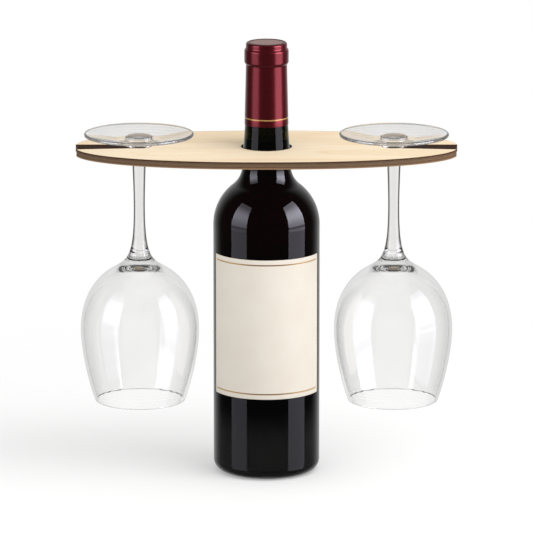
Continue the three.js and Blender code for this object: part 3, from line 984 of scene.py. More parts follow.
# %% Finishes
class Finish(NodeTree):
    """A node tree with short ways to mix colours and end in a shader."""

    def mix(self, share, first, second):
        """Colour between first and second."""
        return self.node("ShaderNodeMix", {"data_type": "RGBA"}, {0: share, 6: first, 7: second}, out=2)

    def bump(self, height, relief):
        """A normal tilted by a height map, with relief the millimetres that 1 stands for."""
        return self.node("ShaderNodeBump", None, {"Height": height, "Distance": relief * MM})

    def principled(self, sockets):
        """The surface shader."""
        return self.node("ShaderNodeBsdfPrincipled", None, sockets)

    def unseen_by(self, share, shader):
        """A shader that a share of the rays passes as if nothing were there."""
        away = self.node("ShaderNodeBsdfTransparent")
        return self.node("ShaderNodeMixShader", None, {0: share, 1: shader, 2: away})

    def end(self, shader, kind="ShaderNodeOutputMaterial"):
        """Links the shader to the tree's output."""
        self.node(kind, None, {"Surface": shader})


print("a finish adds", [name for name in vars(Finish) if not name.startswith("_")])

# %% [markdown]
# ## Colours and dressing
#
# A colour is easiest to read from a picture as three numbers from 0 to 255, but shaders count light, so
# each is turned into its linear value. A finish is a function that fills a tree and gives back its
# shader. Dressing makes the material from it and hands it to the pieces.


# %% Colours and dressing
def colour(red, green, blue):
    """A linear colour from the 0 to 255 numbers of a picture, by the curve of sRGB."""
    value = np.array([red, green, blue]) / 255.0
    linear = np.where(value <= 0.04045, value / 12.92, ((value + 0.055) / 1.055) ** 2.4)
    return (*linear.tolist(), 1.0)


def dress(name, shader_of, *dressed):
    """Makes a material with a finish and gives it to pieces."""
    material = bpy.data.materials.new(name)
    material.use_nodes = True
    finish = Finish(material.node_tree)
    finish.end(shader_of(finish))
    for piece in dressed:
        piece.data.materials.clear()
        piece.data.materials.append(material)
    print(name, "on", [piece.name for piece in dressed], "with", len(material.node_tree.nodes), "nodes")


print("a middle grey is", colour(128, 128, 128))

# %% [markdown]
# ## Dark bottle glass and wine
#
# Olive glass over red wine reads as black, apart from the bare neck above the wine. So the glass is
# a true clear body with an olive tint, and the wine inside is a dark liquid that stops the light. At the
# shoulder, where light gets in, a red glow is painted into the wine's colour. Moulded glass is never
# quite even: a slow, shallow waviness bends its reflections.

# %% Bottle glass and wine
OLIVE_DARK = colour(50, 50, 18)
OLIVE_LIGHT = colour(64, 63, 25)
OLIVE_STREAKS = (0.06, 0.06, 0.012)  # spots of noise per millimetre along x, y and z
MOULD_WAVES = (0.03, 0.03, 0.012)
MOULD_RELIEF = 0.06
WINE_IN_BODY = colour(26, 9, 12)
# painted light: the red glow that the wine shows at the shoulder
WINE_PAINTED_GLOW = colour(118, 12, 26)
WINE_IN_NECK = colour(24, 8, 9)
PAINTED_GLOW_STARTS = (SHOULDER_HEIGHT - 40.0, SHOULDER_HEIGHT + 20.0)
WINE_DARKENS = (NECK_BASE - 8.0, NECK_BASE + 4.0)


def olive_glass(finish):
    """Clear glass with an olive tint in slow streaks."""
    vector, *_ = finish.place()
    streaks = finish.noise(vector, OLIVE_STREAKS)
    waves = finish.noise(vector, MOULD_WAVES, 1.0)
    return finish.principled({
        "Base Color": finish.mix(streaks, OLIVE_DARK, OLIVE_LIGHT),
        "Roughness": 0.02,
        "IOR": 1.52,
        "Transmission Weight": 1.0,
        "Normal": finish.bump(waves, MOULD_RELIEF),
    })


def red_wine(finish):
    """A dark liquid with a red glow painted between two heights, for light that gets in at the shoulder."""
    *_, height = finish.place()
    # painted light: red between these heights stands for light that gets in at the shoulder
    body = finish.mix(height.rising(*PAINTED_GLOW_STARTS), WINE_IN_BODY, WINE_PAINTED_GLOW)
    return finish.principled({
        "Base Color": finish.mix(height.rising(*WINE_DARKENS), body, WINE_IN_NECK),
        "Roughness": 0.3,
        "Specular IOR Level": 0.0,
    })


dress("olive_bottle_glass", olive_glass, bottle_glass)
dress("red_wine", red_wine, wine)

# %% [markdown]
# ## Cork, capsule and disc
#
# Cork is speckled with dark pores. The capsule is a satin burgundy skin with one thin gold line near
# its lower edge and a few shrink folds below that line. The disc on top is a dull grey-brown.

# %% Cork
CORK_DARK = colour(166, 122, 80)
CORK_LIGHT = colour(212, 174, 130)
CORK_PORE = colour(84, 52, 32)
CORK_SPOTS = 0.5
CORK_PIT_SHAPE = (1.0, 1.0, 0.4)
CORK_PIT_REACH = (0.08, 0.3)
CORK_RELIEF = 0.2


def speckled_cork(finish):
    """Grainy tan with dark pits round the points of a Voronoi pattern, longer along the stopper."""
    vector, *_ = finish.place()
    grain = finish.noise(vector, CORK_SPOTS, 6.0, 0.7)
    cells = {"Vector": finish.stretched(vector, CORK_PIT_SHAPE), "Scale": CORK_SPOTS}
    pits = finish.node("ShaderNodeTexVoronoi", None, cells).falling(*CORK_PIT_REACH)
    tan = finish.mix(grain, CORK_DARK, CORK_LIGHT)
    return finish.principled({
        "Base Color": finish.mix(pits * grain, tan, CORK_PORE),
        "Roughness": 0.85,
        "Normal": finish.bump(grain - pits, CORK_RELIEF),
    })


dress("cork", speckled_cork, cork)

# %% [markdown]
# The capsule's skin is a thin lacquered metal foil in its look: a metallic red under a clear coat. Its
# gold line wanders a little in height, because the sleeve shrinks unevenly.

# %% Capsule
CAPSULE_DARK = colour(111, 26, 34)
CAPSULE_LIGHT = colour(126, 33, 41)
# painted shade: the turned-in lip on top is coloured darker
CAPSULE_LIP_SHADE = colour(62, 16, 20)
CAPSULE_LIP_REACH = (CAPSULE_TOP - 0.9, CAPSULE_TOP - 0.3)
CAPSULE_METAL = 0.82
CAPSULE_COAT = 0.42
CAPSULE_RELIEF = 0.25
GRAIN_RELIEF = 0.05  # share of the relief
FOLD_SPOTS = (0.03, 0.03, 1.4)
GOLD = colour(214, 168, 98)
GOLD_LINE_HEIGHT = 251.0
GOLD_LINE_EDGE = (0.32, 0.48)  # from the middle of the line
GOLD_LINE_WANDER = 0.3
GOLD_LESS_METAL = 0.44
LIP_LESS_METAL = 0.6
FOLDS_BELOW = (GOLD_LINE_HEIGHT - 2.0, GOLD_LINE_HEIGHT - 0.5)


def burgundy_capsule(finish):
    """Satin red, dull on the turned-in lip and painted darker there as shade, with a gold line and folds
    below it.
    """
    vector, _, _, height = finish.place()
    grain = finish.noise(vector, 2.5, 4.0, 0.6)
    wander = finish.noise(vector, 0.12) * GOLD_LINE_WANDER - GOLD_LINE_WANDER / 2.0
    gold = abs(height + wander - GOLD_LINE_HEIGHT).falling(*GOLD_LINE_EDGE)
    folds = finish.noise(vector, FOLD_SPOTS) * height.falling(*FOLDS_BELOW)
    lip = height.rising(*CAPSULE_LIP_REACH)
    red = finish.mix(grain, CAPSULE_DARK, CAPSULE_LIGHT)
    return finish.principled({
        # painted shade on the lip, and the gold line over it
        "Base Color": finish.mix(gold, finish.mix(lip, red, CAPSULE_LIP_SHADE), GOLD),
        "Metallic": CAPSULE_METAL - gold * GOLD_LESS_METAL - lip * LIP_LESS_METAL,
        "Roughness": 0.25 + grain * 0.06,
        "Coat Weight": CAPSULE_COAT - lip * CAPSULE_COAT,
        "Coat Roughness": 0.15,
        "Normal": finish.bump(grain * GRAIN_RELIEF + folds, CAPSULE_RELIEF),
    })


dress("burgundy_capsule", burgundy_capsule, capsule)

# %% [markdown]
# The disc under the capsule's lip is dull. A noise along its radius alone makes faint rings, as on
# a pressed disc.

# %% Disc
DISC_DARK = colour(118, 97, 93)
DISC_LIGHT = colour(150, 126, 121)
DISC_RINGS = 3.0
DISC_RELIEF = 0.03


def dull_disc(finish):
    """Grey-brown with faint rings: noise along the radius."""
    _, across, deep, _ = finish.place()
    radius = finish.length(across, deep)
    rings = finish.noise(finish.node("ShaderNodeCombineXYZ", None, {0: radius}), DISC_RINGS)
    return finish.principled({
        "Base Color": finish.mix(rings, DISC_DARK, DISC_LIGHT),
        "Roughness": 0.6,
        "Specular IOR Level": 0.1,
        "Normal": finish.bump(rings, DISC_RELIEF),
    })


dress("capsule_disc", dull_disc, capsule_disc)

# %% [markdown]
# ## Label paper
#
# The label is uncoated cream paper with a faint cloudiness and a soft tooth. Two fine gold lines are
# printed near its upper and lower edges and stop short of its sides.

# %% Label finish
LABEL_HALF_WIDTH = LABEL_OUTER * LABEL_HALF_ANGLE
LABEL_LINES = (62.2, 153.6)  # heights above the table
LABEL_LINE_EDGE = (0.3325, 0.57)  # from the middle of a line
LABEL_LINE_END = LABEL_HALF_WIDTH - 1.8
LABEL_LINE_SOFT = 0.4
CREAM_DARK = colour(237, 227, 212)
CREAM_LIGHT = colour(248, 241, 229)
CREAM_TOOTH = colour(214, 205, 190)
TOOTH_SHARE = 0.25
TOOTH_RELIEF = 0.03
PRINT_DARK = colour(150, 112, 60)
# painted highlight: the glint of the gold print towards the label's sides
PRINT_PAINTED_GLINT = colour(222, 184, 118)
PRINT_METAL = 0.4
PRINT_GLOSS = 0.42


def cream_paper(finish):
    """Cloudy cream with a fine tooth, and two lines of gold print, with a painted glint that makes it paler
    to the sides.
    """
    vector, _, _, height = finish.place()
    side = abs(finish.split(finish.node("ShaderNodeUVMap", {"uv_map": "paper_mm"}))[0])
    clouds = finish.noise(vector, 0.05, 3.0)
    tooth = finish.noise(vector, 4.0, 4.0, 0.65)
    cream = finish.mix(clouds, CREAM_DARK, CREAM_LIGHT)
    lower, upper = [abs(height - line).falling(*LABEL_LINE_EDGE) for line in LABEL_LINES]
    gold = (lower + upper) * side.falling(LABEL_LINE_END - LABEL_LINE_SOFT, LABEL_LINE_END)
    # painted highlight: the print turns paler towards the sides, as if it glinted
    print_with_glint = finish.mix(side.rising(0.0, LABEL_HALF_WIDTH), PRINT_DARK, PRINT_PAINTED_GLINT)
    paper = finish.mix(tooth * TOOTH_SHARE, cream, CREAM_TOOTH)
    return finish.principled({
        "Base Color": finish.mix(gold, paper, print_with_glint),
        "Metallic": gold * PRINT_METAL,
        "Roughness": 0.8 - gold * PRINT_GLOSS,
        "Normal": finish.bump(tooth, TOOTH_RELIEF),
    })


dress("cream_label_paper", cream_paper, label)

# %% [markdown]
# ## Bare birch
#
# Birch veneer is pale, with a long, faint figure and fine darker pores along the grain, which runs along
# the holder. Both come from noise that is stretched along x. Folding the slow one back and forth turns
# it into bands, as growth rings give them.

# %% Bare birch
FIGURE_SPOTS = (0.006, 0.05, 0.05)
FIGURE_LEVELS = (0.3, 0.7)
BANDS = 9.0
BAND_LEVELS = (0.55, 1.0)
BAND_SHARE = 0.35
PORE_SPOTS = (0.06, 1.6, 1.6)
PORE_LEVELS = (0.52, 0.8)
PORE_SHARE = 0.3
BIRCH_PALE = colour(230, 213, 186)
BIRCH_WARM = colour(222, 202, 171)
BIRCH_BAND = colour(214, 187, 150)
BIRCH_PORE = colour(190, 156, 116)


def figured_birch(finish, vector):
    """Colour of bare birch, and the share of pores: bands folded out of noise, and short fine pores."""
    figure = finish.noise(vector, FIGURE_SPOTS, 2.0, 0.5, 0.6)
    bands = (figure * BANDS).folded(1.0).rising(*BAND_LEVELS)
    pores = finish.noise(vector, PORE_SPOTS, 3.0, 0.6).rising(*PORE_LEVELS)
    pale = finish.mix(figure.rising(*FIGURE_LEVELS), BIRCH_PALE, BIRCH_WARM)
    lined = finish.mix(bands * BAND_SHARE, pale, BIRCH_BAND)
    return finish.mix(pores * PORE_SHARE, lined, BIRCH_PORE), pores


print("a pore is about", 1.0 / PORE_SPOTS[0], "mm long and", 1.0 / PORE_SPOTS[1], "mm wide")

# %% [markdown]
# ## Veneer with burnt edges
#
# Where the laser cut it the wood is charred: brown in the depth of the cut. Round the hole the char is
# painted near-black together with the shadow of the gap round the neck, and in the slots it is darkened
# with painted shade. The attributes of the mesh tell where the cuts are. Under the hubs of the glasses
# a brown contact shadow is painted, since the glasses cast none.

# %% Veneer
BOARD_MIDDLE = (CORE_BOTTOM + CORE_TOP) / 2.0
MIDDLE_SOFT = 0.2
IN_CUT = (0.3, 0.9)  # of the attribute that marks the cuts
PORE_RELIEF = 0.03
TOAST = colour(176, 134, 92)
TOAST_REACH = (0.3, 2.5)
TOAST_SHARE = 0.25
# painted shadow: brown contact shadow under the hubs of the glasses, which cast none
HUB_PAINTED_SHADOW = colour(92, 64, 42)
HUB_SHADOW_REACH = (HUB_RADIUS - 2.0, HUB_RADIUS)
HUB_SHADOW_SHARE = 0.75
CHAR_REACH = (0.05, 0.4)
# char and painted shadow: a near-black ring round the hole, for the shaded gap round the neck
HOLE_CHAR_AND_SHADOW_REACH = (HOLE_RADIUS + 1.0, HOLE_RADIUS + 1.4)
CHAR_ON_TOP = colour(72, 48, 32)
CHAR_UNDERNEATH = colour(150, 118, 86)
# char with painted shade on the walls of the slots
SLOT_CHAR_AND_SHADE = colour(66, 44, 29)
HOLE_CHAR_AND_SHADOW = colour(14, 10, 8)


def burnt_edges(finish, height, hole_char_and_shadow):
    """Colour of the charred wood: paler underneath, darker in the slots with painted shade, and near-black
    round the hole, where char and a painted shadow of the gap round the neck meet.
    """
    underneath = height.falling(BOARD_MIDDLE - MIDDLE_SOFT, BOARD_MIDDLE + MIDDLE_SOFT)
    edge_tone = finish.mix(underneath, CHAR_ON_TOP, CHAR_UNDERNEATH)
    # painted shade in the slots, and painted shadow with char round the hole
    cut_char_and_shade = finish.mix(hole_char_and_shadow, SLOT_CHAR_AND_SHADE, HOLE_CHAR_AND_SHADOW)
    in_cut = finish.attribute("in_cut").rising(*IN_CUT)
    return finish.mix(in_cut.bigger(hole_char_and_shadow), edge_tone, cut_char_and_shade)


def birch_veneer(finish):
    """Bare birch, browned near the cuts, with a painted contact shadow under the hubs, and charred at its
    edges.
    """
    vector, across, deep, height = finish.place()
    birch, pores = figured_birch(finish, vector)
    cut = finish.attribute("cut_mm")
    hole_char_and_shadow = finish.length(across, deep).falling(*HOLE_CHAR_AND_SHADOW_REACH)
    char = cut.falling(*CHAR_REACH).bigger(hole_char_and_shadow)
    # painted shadow under each glass's hub
    hub_shadow = finish.length(abs(across) - SEAT_X, deep).falling(*HUB_SHADOW_REACH) * HUB_SHADOW_SHARE
    toast_and_shadow = (cut.falling(*TOAST_REACH) * TOAST_SHARE).bigger(hub_shadow)
    toasted_and_shadowed = finish.mix(toast_and_shadow, birch, finish.mix(hub_shadow, TOAST, HUB_PAINTED_SHADOW))
    return finish.principled({
        "Base Color": finish.mix(char, toasted_and_shadowed, burnt_edges(finish, height, hole_char_and_shadow)),
        "Roughness": 0.65 + pores * 0.15,
        "Specular IOR Level": 0.08,
        "Normal": finish.bump(pores * -1.0, PORE_RELIEF),
    })


dress("birch_veneer", birch_veneer, holder_top, holder_bottom)

# %% [markdown]
# ## Charred core
#
# Only the edge of the core shows. The laser leaves it brown, with soot in soft clouds and upright
# streaks from the beam, paler along the middle of the board. Inside the slots and the hole it is painted
# darker, as shade in the narrow cuts.

# %% Core ply
SOOT_SPOTS = (0.25, 0.25, 0.9)
BEAM_SPOTS = (1.4, 1.4, 0.15)
BEAM_SHARE = 0.5
BEAM_MIDDLE = (0.25, 0.7)  # from the middle of the board, over which the streaks turn dark
CORE_DARK = colour(84, 60, 39)
CORE_LIGHT = colour(124, 95, 65)
BEAM_LIGHT = colour(130, 100, 66)
BEAM_DARK = colour(66, 45, 29)
# painted shade: the core's walls inside the slots and the hole are coloured darker
CORE_CUT_SHADE_DARK = colour(40, 25, 14)
CORE_CUT_SHADE_LIGHT = colour(66, 43, 26)
CORE_RELIEF = 0.06


def charred_core(finish):
    """Clouds of soot with upright streaks, and a darker brown of painted shade where the attribute marks a
    cut.
    """
    vector, _, _, height = finish.place()
    soot = finish.noise(vector, SOOT_SPOTS, 4.0, 0.6)
    streaks = finish.noise(vector, BEAM_SPOTS)
    beam = finish.mix(abs(height - BOARD_MIDDLE).rising(*BEAM_MIDDLE), BEAM_LIGHT, BEAM_DARK)
    edge = finish.mix(streaks * BEAM_SHARE, finish.mix(soot, CORE_DARK, CORE_LIGHT), beam)
    in_cut = finish.attribute("in_cut").rising(*IN_CUT)
    return finish.principled({
        # painted shade where the attribute marks a cut
        "Base Color": finish.mix(in_cut, edge, finish.mix(soot, CORE_CUT_SHADE_DARK, CORE_CUT_SHADE_LIGHT)),
        "Roughness": 0.8,
        "Normal": finish.bump(streaks + soot, CORE_RELIEF),
    })


dress("charred_core_ply", charred_core, holder_core)

# %% [markdown]
# ## Clear glass
#
# Clear glass has no colour of its own: it shows what is behind it, bent, and what is in front of it,
# mirrored. So most of its look is made by the surroundings, which come last. What they can't give is
# painted into the tint as shade: dark lines at the edge of the foot, round the hub and at the rim. These
# lines come first, by radius and by depth below the foot.

# %% Painted dark edges
FOOT_BAND = (FOOT_RADIUS - 1.5, FOOT_RADIUS - 0.8)
FOOT_LINES = (FOOT_EDGE * 0.2, FOOT_EDGE * 0.4)  # from the middle of the edge
HUB_INSIDE = (BOSS_RADIUS - 1.2, BOSS_RADIUS - 0.6)
HUB_OUTSIDE = (HUB_RADIUS + 0.8, HUB_RADIUS + 1.4)
HUB_UPPER_LINE = (BOSS_HEIGHT + 0.3, BOSS_HEIGHT + 0.9)
HUB_LOWER_LINE = (HUB_END - 0.8, HUB_END - 0.3)
LIP_REACH = (GLASS_HEIGHT - 1.3, GLASS_HEIGHT - 0.7)
LIP_SHARE = 0.8


def painted_dark_edges(from_axis, depth, thick):
    """Share of the painted edge shade: two lines on the foot's edge, two on the hub, and the rim of the
    bowl.
    """
    foot = from_axis.rising(*FOOT_BAND) * abs(depth - FOOT_EDGE / 2.0).rising(*FOOT_LINES)
    hub_band = from_axis.falling(*HUB_OUTSIDE) * from_axis.rising(*HUB_INSIDE)
    hub = hub_band * (depth.falling(*HUB_UPPER_LINE) + depth.rising(*HUB_LOWER_LINE))
    return (foot * thick).bigger(hub * thick).bigger(depth.rising(*LIP_REACH) * LIP_SHARE)


print("dim edges: the outer", FOOT_RADIUS - FOOT_BAND[0], "mm of the foot, the hub and the rim")

# %% [markdown]
# The stem's dark outline is painted shade in its tint, where its surface turns away from the eye, which
# Layer Weight tells, and the whole stem is tinted a little grey as painted shade too.
# A ray that comes mirrored from the bottle passes the glasses unseen, so that the bottle's highlights
# stay whole.

# %% Clear glass
GLASS_TONES = (colour(251, 251, 250), colour(255, 255, 255))
GLASS_WAVES = (0.04, 0.04, 0.02)
# painted shade: the stem is tinted a little grey
STEM_PAINTED_GREY = colour(233, 232, 231)
# painted shade: the stem's dark outline
STEM_PAINTED_OUTLINE = colour(34, 31, 29)
STEM_TURNS_AWAY = (0.3, 0.5)
# painted shade: the dark lines at the foot's edge, round the hub and at the rim
PAINTED_EDGE_SHADE = colour(118, 119, 118)
# painted shade: the boss face is tinted grey-brown for the dark wood seen through it
BOSS_PAINTED_SHADE = colour(142, 131, 123)
THICK_FROM = FOOT_PLANE - BOWL_JOIN_HEIGHT
THICK_REACH = (THICK_FROM, THICK_FROM + 20.0)  # height over which the bowl becomes stem
STEM_REACH = (HUB_END, HUB_END + 6.0)  # depth below the foot's plane
BOSS_INSIDE = (BOSS_RADIUS - 1.6, BOSS_RADIUS - 0.8)
BOSS_FACE = (BOSS_HEIGHT + 0.2, BOSS_HEIGHT + 0.6)


def clear_glass(finish):
    """Clear glass with painted shade in its tint: dark lines at its edges, a grey stem with a dark outline
    and a grey boss; left out of what the bottle mirrors.
    """
    vector, across, deep, height = finish.place()
    from_axis = finish.length(abs(across) - SEAT_X, deep)
    depth = FOOT_PLANE - height
    thick = height.rising(*THICK_REACH)
    stem = thick * depth.rising(*STEM_REACH)
    boss = from_axis.falling(*BOSS_INSIDE) * depth.falling(*BOSS_FACE)
    thin = finish.mix(finish.noise(vector, GLASS_WAVES, 1.0), *GLASS_TONES)
    # painted shade on the boss face
    clear = finish.mix(boss, finish.mix(stem, thin, STEM_PAINTED_GREY), BOSS_PAINTED_SHADE)
    lined = finish.mix(painted_dark_edges(from_axis, depth, thick), clear, PAINTED_EDGE_SHADE)
    facing = finish.node("ShaderNodeLayerWeight", None, {"Blend": 0.5}, out="Facing")
    shader = finish.principled({
        # painted shade: the stem's dark outline where its surface turns away
        "Base Color": finish.mix(stem * facing.rising(*STEM_TURNS_AWAY), lined, STEM_PAINTED_OUTLINE),
        "Roughness": 0.0,
        "IOR": 1.5,
        "Transmission Weight": 1.0,
    })
    _, _, mirrored, _ = finish.rays()
    passed = finish.path("Transparent Depth").at_least(1)
    outside = 1.0 - finish.node("ShaderNodeNewGeometry", out="Backfacing")
    return finish.unseen_by(mirrored * outside.bigger(passed), shader)


dress("clear_glass", clear_glass, glass_left, glass_right)

# %% [markdown]
# ## Floor
#
# The set stands on a white floor that keeps its shadow. A plain white disc would do for a wooden thing,
# but glass and the bottle show the floor again, and there it must not be all there is: to mirrored and
# see-through rays it fades out with distance, and the room behind it takes over.

# %% Floor
FLOOR_RADIUS = 520.0
FLOOR_DROP = 0.05  # below the bottle's base
FLOOR_STEPS = 40
FLOOR_AROUND = 96
FLOOR_TONE = colour(205, 205, 205)
FLOOR_TONE_FOR_MATTE = colour(150, 150, 150)
FLOOR_LIFT = 0.28  # added to what the floor sends back, so that it is white where no shadow falls
FLOOR_LIFT_IN_GLASS = 0.3
FLOOR_MIRRORED = 0.26  # how much of the near floor the bottle mirrors
NEAR_FLOOR = (120.0, 240.0)
FLOOR_FADE = (FLOOR_RADIUS * 0.5, FLOOR_RADIUS)
FLOOR_FADE_IN_GLASS = (144.0, 240.0)


def white_floor(finish):
    """White paint with a little glow of its own that fades out with the distance from the bottle."""
    _, across, deep, _ = finish.place()
    radius = finish.length(across, deep)
    camera, matte, mirrored, clear = finish.rays()
    white = finish.mix(matte, FLOOR_TONE, FLOOR_TONE_FOR_MATTE)
    paint = finish.node("ShaderNodeBsdfDiffuse", None, {"Color": white})
    glow = camera * FLOOR_LIFT + clear * FLOOR_LIFT_IN_GLASS
    lift = finish.node("ShaderNodeEmission", None, {"Strength": glow})
    lit = finish.node("ShaderNodeAddShader", None, {0: paint, 1: lift})
    fade = radius.rising(*FLOOR_FADE).bigger(clear * radius.rising(*FLOOR_FADE_IN_GLASS))
    not_mirrored = mirrored * (1.0 - radius.falling(*NEAR_FLOOR) * FLOOR_MIRRORED)
    return finish.unseen_by(fade.bigger(not_mirrored), lit)


def make_floor():
    """A disc of rings round the bottle, just below its base."""
    rings = np.linspace(FLOOR_RADIUS, 0.0, FLOOR_STEPS + 1)
    profile = np.column_stack([rings, np.full_like(rings, -FLOOR_DROP)])
    floor = smooth_surface("floor", *turned(profile, FLOOR_AROUND))
    dress("white_floor", white_floor, floor)


make_floor()

# %% [markdown]
# ## Room
#
# The camera sees a plain white room, and matte surfaces see an even light. Glass gets its dark lines
# from what is not white, so to see-through rays the room is white behind and in front, with gaps between.
# The gaps are mild for light that passes straight through, so that the glasses stay clear from all
# sides, and dark for light that was turned back inside thick glass, which draws its outlines. To rays
# mirrored by the bottle the room is dark, apart from a wide, soft wall behind that lights its edges.

# %% Room seen through glass
OPEN_HALF = 35.0  # degrees to each side of straight behind, and of straight in front, that are white
SLANT = 45.0
SLANT_HALF = 3.0  # the same for paler strips at half right angles
SLANT_LEVEL = 0.4  # how much of a gap such a strip takes away
SIDE = 90.0
SIDE_HALF = 4.0  # and for white strips straight to both sides
OPEN_SOFT = 3.0
GAP_LEVEL = 0.5  # brightness of the gaps, for light that passes straight through
TURNED_GAP_LEVEL = 0.1  # the same for light that is turned back inside thick glass
BOWL_GAP_LEVEL = 0.72  # share of the gaps that is taken away behind both walls of a bowl
BOTH_WALLS = (2.4, 3.6)  # surfaces passed on the way: each wall of a bowl has two
TURNED_BACK = 0.8  # share left of light that is turned back inside the glass
CEILING_LEVEL = 0.1  # brightness far up and far down
CEILING_FROM = (0.4, 0.7)  # upward part of the direction
GROUND_FROM = (0.6, 0.8)  # downward part of the direction


def gaps_of(turn):
    """1 in the gaps between the white parts of the room, by the angle from straight behind."""
    folded = turn.folded(SIDE)
    closed = folded.rising(OPEN_HALF - OPEN_SOFT, OPEN_HALF + OPEN_SOFT)
    slanted = abs(folded - SLANT).falling(SLANT_HALF - OPEN_SOFT, SLANT_HALF + OPEN_SOFT)
    beside = (SIDE - folded).rising(SIDE_HALF - OPEN_SOFT, SIDE_HALF + OPEN_SOFT)
    return closed * (1.0 - slanted * SLANT_LEVEL) * beside


def room_seen_through(finish, turn, up):
    """Light that see-through rays meet: white less the gaps, the ceiling and the ground."""
    turns = finish.path("Glossy Depth").at_least(1)
    walls = finish.path("Transmission Depth").rising(*BOTH_WALLS)
    gap = turns * (GAP_LEVEL - TURNED_GAP_LEVEL) + (1.0 - GAP_LEVEL)
    steep = up.rising(*CEILING_FROM).bigger((0.0 - up).rising(*GROUND_FROM))
    dark = (gaps_of(turn) * gap).bigger(steep * (1.0 - CEILING_LEVEL))
    return (1.0 - dark * (1.0 - walls * BOWL_GAP_LEVEL)) * (1.0 - turns * (1.0 - TURNED_BACK))


print("white for", 2.0 * OPEN_HALF, "degrees behind and in front")

# %% [markdown]
# The four kinds of rays are told apart by Light Path, and each gets its own room.

# %% Room
AMBIENT = 0.9  # what matte surfaces see all round
DARK = 0.04
WALL_HALF = 45.0  # degrees to each side that the mirrored wall covers
WALL_SOFT = 23.0
WALL_LEVEL = 0.6


def make_room():
    """World light by direction: white for the camera, walls and gaps for glass, even light for the rest."""
    world = bpy.data.worlds.new("room")
    bpy.context.scene.world = world
    world.use_nodes = True
    finish = Finish(world.node_tree)
    x, y, up = finish.split(finish.node("ShaderNodeTexCoord", out="Generated"))
    turn = abs(x.maths("ARCTAN2", x, y)) * np.degrees(1.0)
    wall = turn.falling(WALL_HALF - WALL_SOFT, WALL_HALF + WALL_SOFT) * (WALL_LEVEL - DARK) + DARK
    camera, matte, mirrored, clear = finish.rays()
    strength = camera + mirrored * wall + clear * room_seen_through(finish, turn, up) + matte * AMBIENT
    sockets = {"Color": (1.0, 1.0, 1.0, 1.0), "Strength": strength}
    finish.end(finish.node("ShaderNodeBackground", None, sockets), "ShaderNodeOutputWorld")
    print("room with", len(world.node_tree.nodes), "nodes")


make_room()

# %% [markdown]
# ## Lamps
#
# All lamps are rectangles that face the set. What differs is their use: some are there to be mirrored,
# some show only by a reflection inside clear glass, and some only light matte surfaces. Blender's
# switches for the kinds of rays keep these uses apart.

# %% Lamps
PANEL_DISTANCE = 1200.0
INNER_STEP = 20.0  # lamps in the same place would hide each other
COOL_WHITE = (0.88, 0.86, 1.0)
WHITE = (1.0, 1.0, 1.0)


def lamp(name, centre, aim, size, brightness, use):
    """A rectangular lamp that faces a point.

    By its use it is mirrored, or shows by inner reflection, or only lights matte faces.
    """
    light = bpy.data.lights.new(name, "AREA")
    light.shape = "RECTANGLE"
    light.size, light.size_y = np.array(size) * MM
    light.energy = brightness * np.pi * light.size * light.size_y
    light.color = WHITE if use == "light" else COOL_WHITE
    held = placed(name, light)
    held.location = np.array(centre) * MM
    held.rotation_euler = (Vector(aim) - Vector(centre)).to_track_quat("-Z", "Y").to_euler()
    held.visible_camera = False
    held.visible_transmission = use == "inner"
    held.visible_glossy = use == "mirrored"
    held.visible_diffuse = use == "light"
    print(name, size, "mm")
    return light


def panel(name, turn, width, low, high, brightness, use):
    """An upright lamp between two heights, at an angle from the camera's side round the bottle's axis."""
    angle = np.radians(turn)
    middle = (low + high) / 2.0
    distance = PANEL_DISTANCE + (INNER_STEP if use == "inner" else 0.0)
    centre = (distance * np.sin(angle), -distance * np.cos(angle), middle)
    return lamp(name, centre, (0.0, 0.0, middle), (width, high - low), brightness, use)


print("lamps stand", PANEL_DISTANCE, "mm from the bottle's axis")

# %% [markdown]
# ## Softboxes
#
# Two tall softboxes stand in front, to the left and the right. Their mirror images are the upright
# strips on the bottle. Their brightness changes at heights where the strips on the bottle, its neck
# and its capsule do. On upright glass the mirror image of a height lies higher, because the camera
# looks down, and the shoulder, which leans back, mirrors the upper end. A second pair just behind the
# first shows only by one reflection inside clear glass, which gives the bowls their inner highlights.

# %% Softboxes
SOFTBOX_LOW = -700.0
SOFTBOX_HIGH = 1400.0
LEFT_TURN = -62.0  # degrees round the bottle from the camera's side
LEFT_WIDTH = 826.0
LEFT_FIRST = 0.7
LEFT_STEPS = (
    (-190, 40, 0.97),
    (-15, 8, 1.25),
    (95, 12, 0.85),
    (180, 3, 2.2),
    (420, 230, 3.9),
    (950, 300, 1.1),
)
RIGHT_TURN = 69.0
RIGHT_WIDTH = 921.0
RIGHT_FIRST = 1.0
RIGHT_STEPS = (
    (-190, 40, 1.4),
    (-15, 8, 2.4),
    (95, 12, 1.3),
    (180, 3, 3.6),
    (420, 230, 7.6),
    (950, 300, 2.6),
)


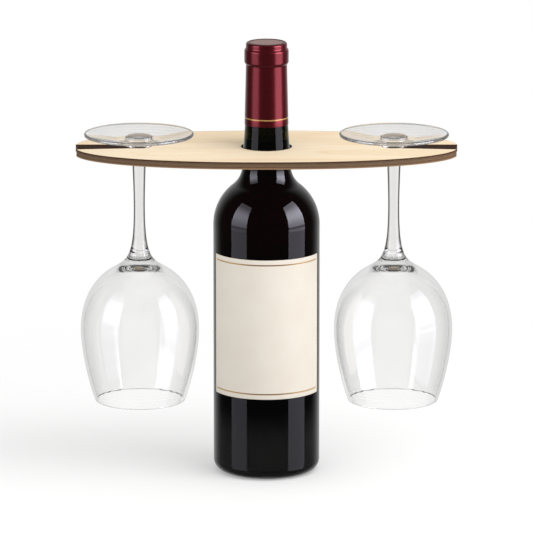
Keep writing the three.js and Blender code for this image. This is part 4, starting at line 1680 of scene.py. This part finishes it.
def graded(light, first, steps, inner):
    """Brightness by height: a first level, and then smooth steps of (middle, half length, new level)."""
    light.use_nodes = True
    finish = Finish(light.node_tree)
    _, share, _ = finish.split(finish.node("ShaderNodeNewGeometry", out="Parametric"))
    height = share * (SOFTBOX_HIGH - SOFTBOX_LOW) + SOFTBOX_LOW
    strength = level = first
    for middle, half, next_level in steps:
        strength = height.rising(middle - half, middle + half) * (next_level - level) + strength
        level = next_level
    if inner:
        turns = finish.path("Glossy Depth")
        strength = strength * turns.at_least(1) * (1.0 - turns.at_least(2))
    shine = finish.node("ShaderNodeEmission", None, {"Strength": strength})
    finish.end(shine, "ShaderNodeOutputLight")


for use in ("mirrored", "inner"):
    left = panel("left_softbox_" + use, LEFT_TURN, LEFT_WIDTH, SOFTBOX_LOW, SOFTBOX_HIGH, 1.0, use)
    right = panel("right_softbox_" + use, RIGHT_TURN, RIGHT_WIDTH, SOFTBOX_LOW, SOFTBOX_HIGH, 1.0, use)
    graded(left, LEFT_FIRST, LEFT_STEPS, use == "inner")
    graded(right, RIGHT_FIRST, RIGHT_STEPS, use == "inner")

# %% [markdown]
# Three plain lamps light the wood, the label and the floor, and nothing mirrors them: a key light from
# above on the right, a weaker one beside the set, and a faint one in front.

# %% Plain lights
SIDE_LIGHT = (75.0, 700.0, 100.0, 800.0, 2.75)  # turn, width, lower and upper height, brightness
FRONT_LIGHT = (-25.0, 900.0, 200.0, 1000.0, 0.55)
KEY_PLACE = (520.0, -400.0, 1400.0)
KEY_AIM = (0.0, 0.0, 100.0)
KEY_SIZE = (800.0, 800.0)
KEY_BRIGHTNESS = 4.0

panel("side_light", *SIDE_LIGHT, "light")
panel("front_light", *FRONT_LIGHT, "light")
lamp("key_light", KEY_PLACE, KEY_AIM, KEY_SIZE, KEY_BRIGHTNESS, "light")

# %% [markdown]
# ## Light paths
#
# In a thick glass base light is turned back many times before it leaves. With Blender's usual limits
# such places come out black, so the limits are raised. The Standard view shows colours as written.

# %% Light paths
GLASS_BOUNCES = 32

light_paths = bpy.context.scene.cycles
light_paths.max_bounces = GLASS_BOUNCES
light_paths.transmission_bounces = GLASS_BOUNCES
light_paths.glossy_bounces = GLASS_BOUNCES
light_paths.transparent_max_bounces = GLASS_BOUNCES
bpy.context.scene.view_settings.view_transform = "Standard"
print("light paths of up to", GLASS_BOUNCES, "bounces")

# %% [markdown]
# ## Size
#
# The dressed model must keep the size of the solids.
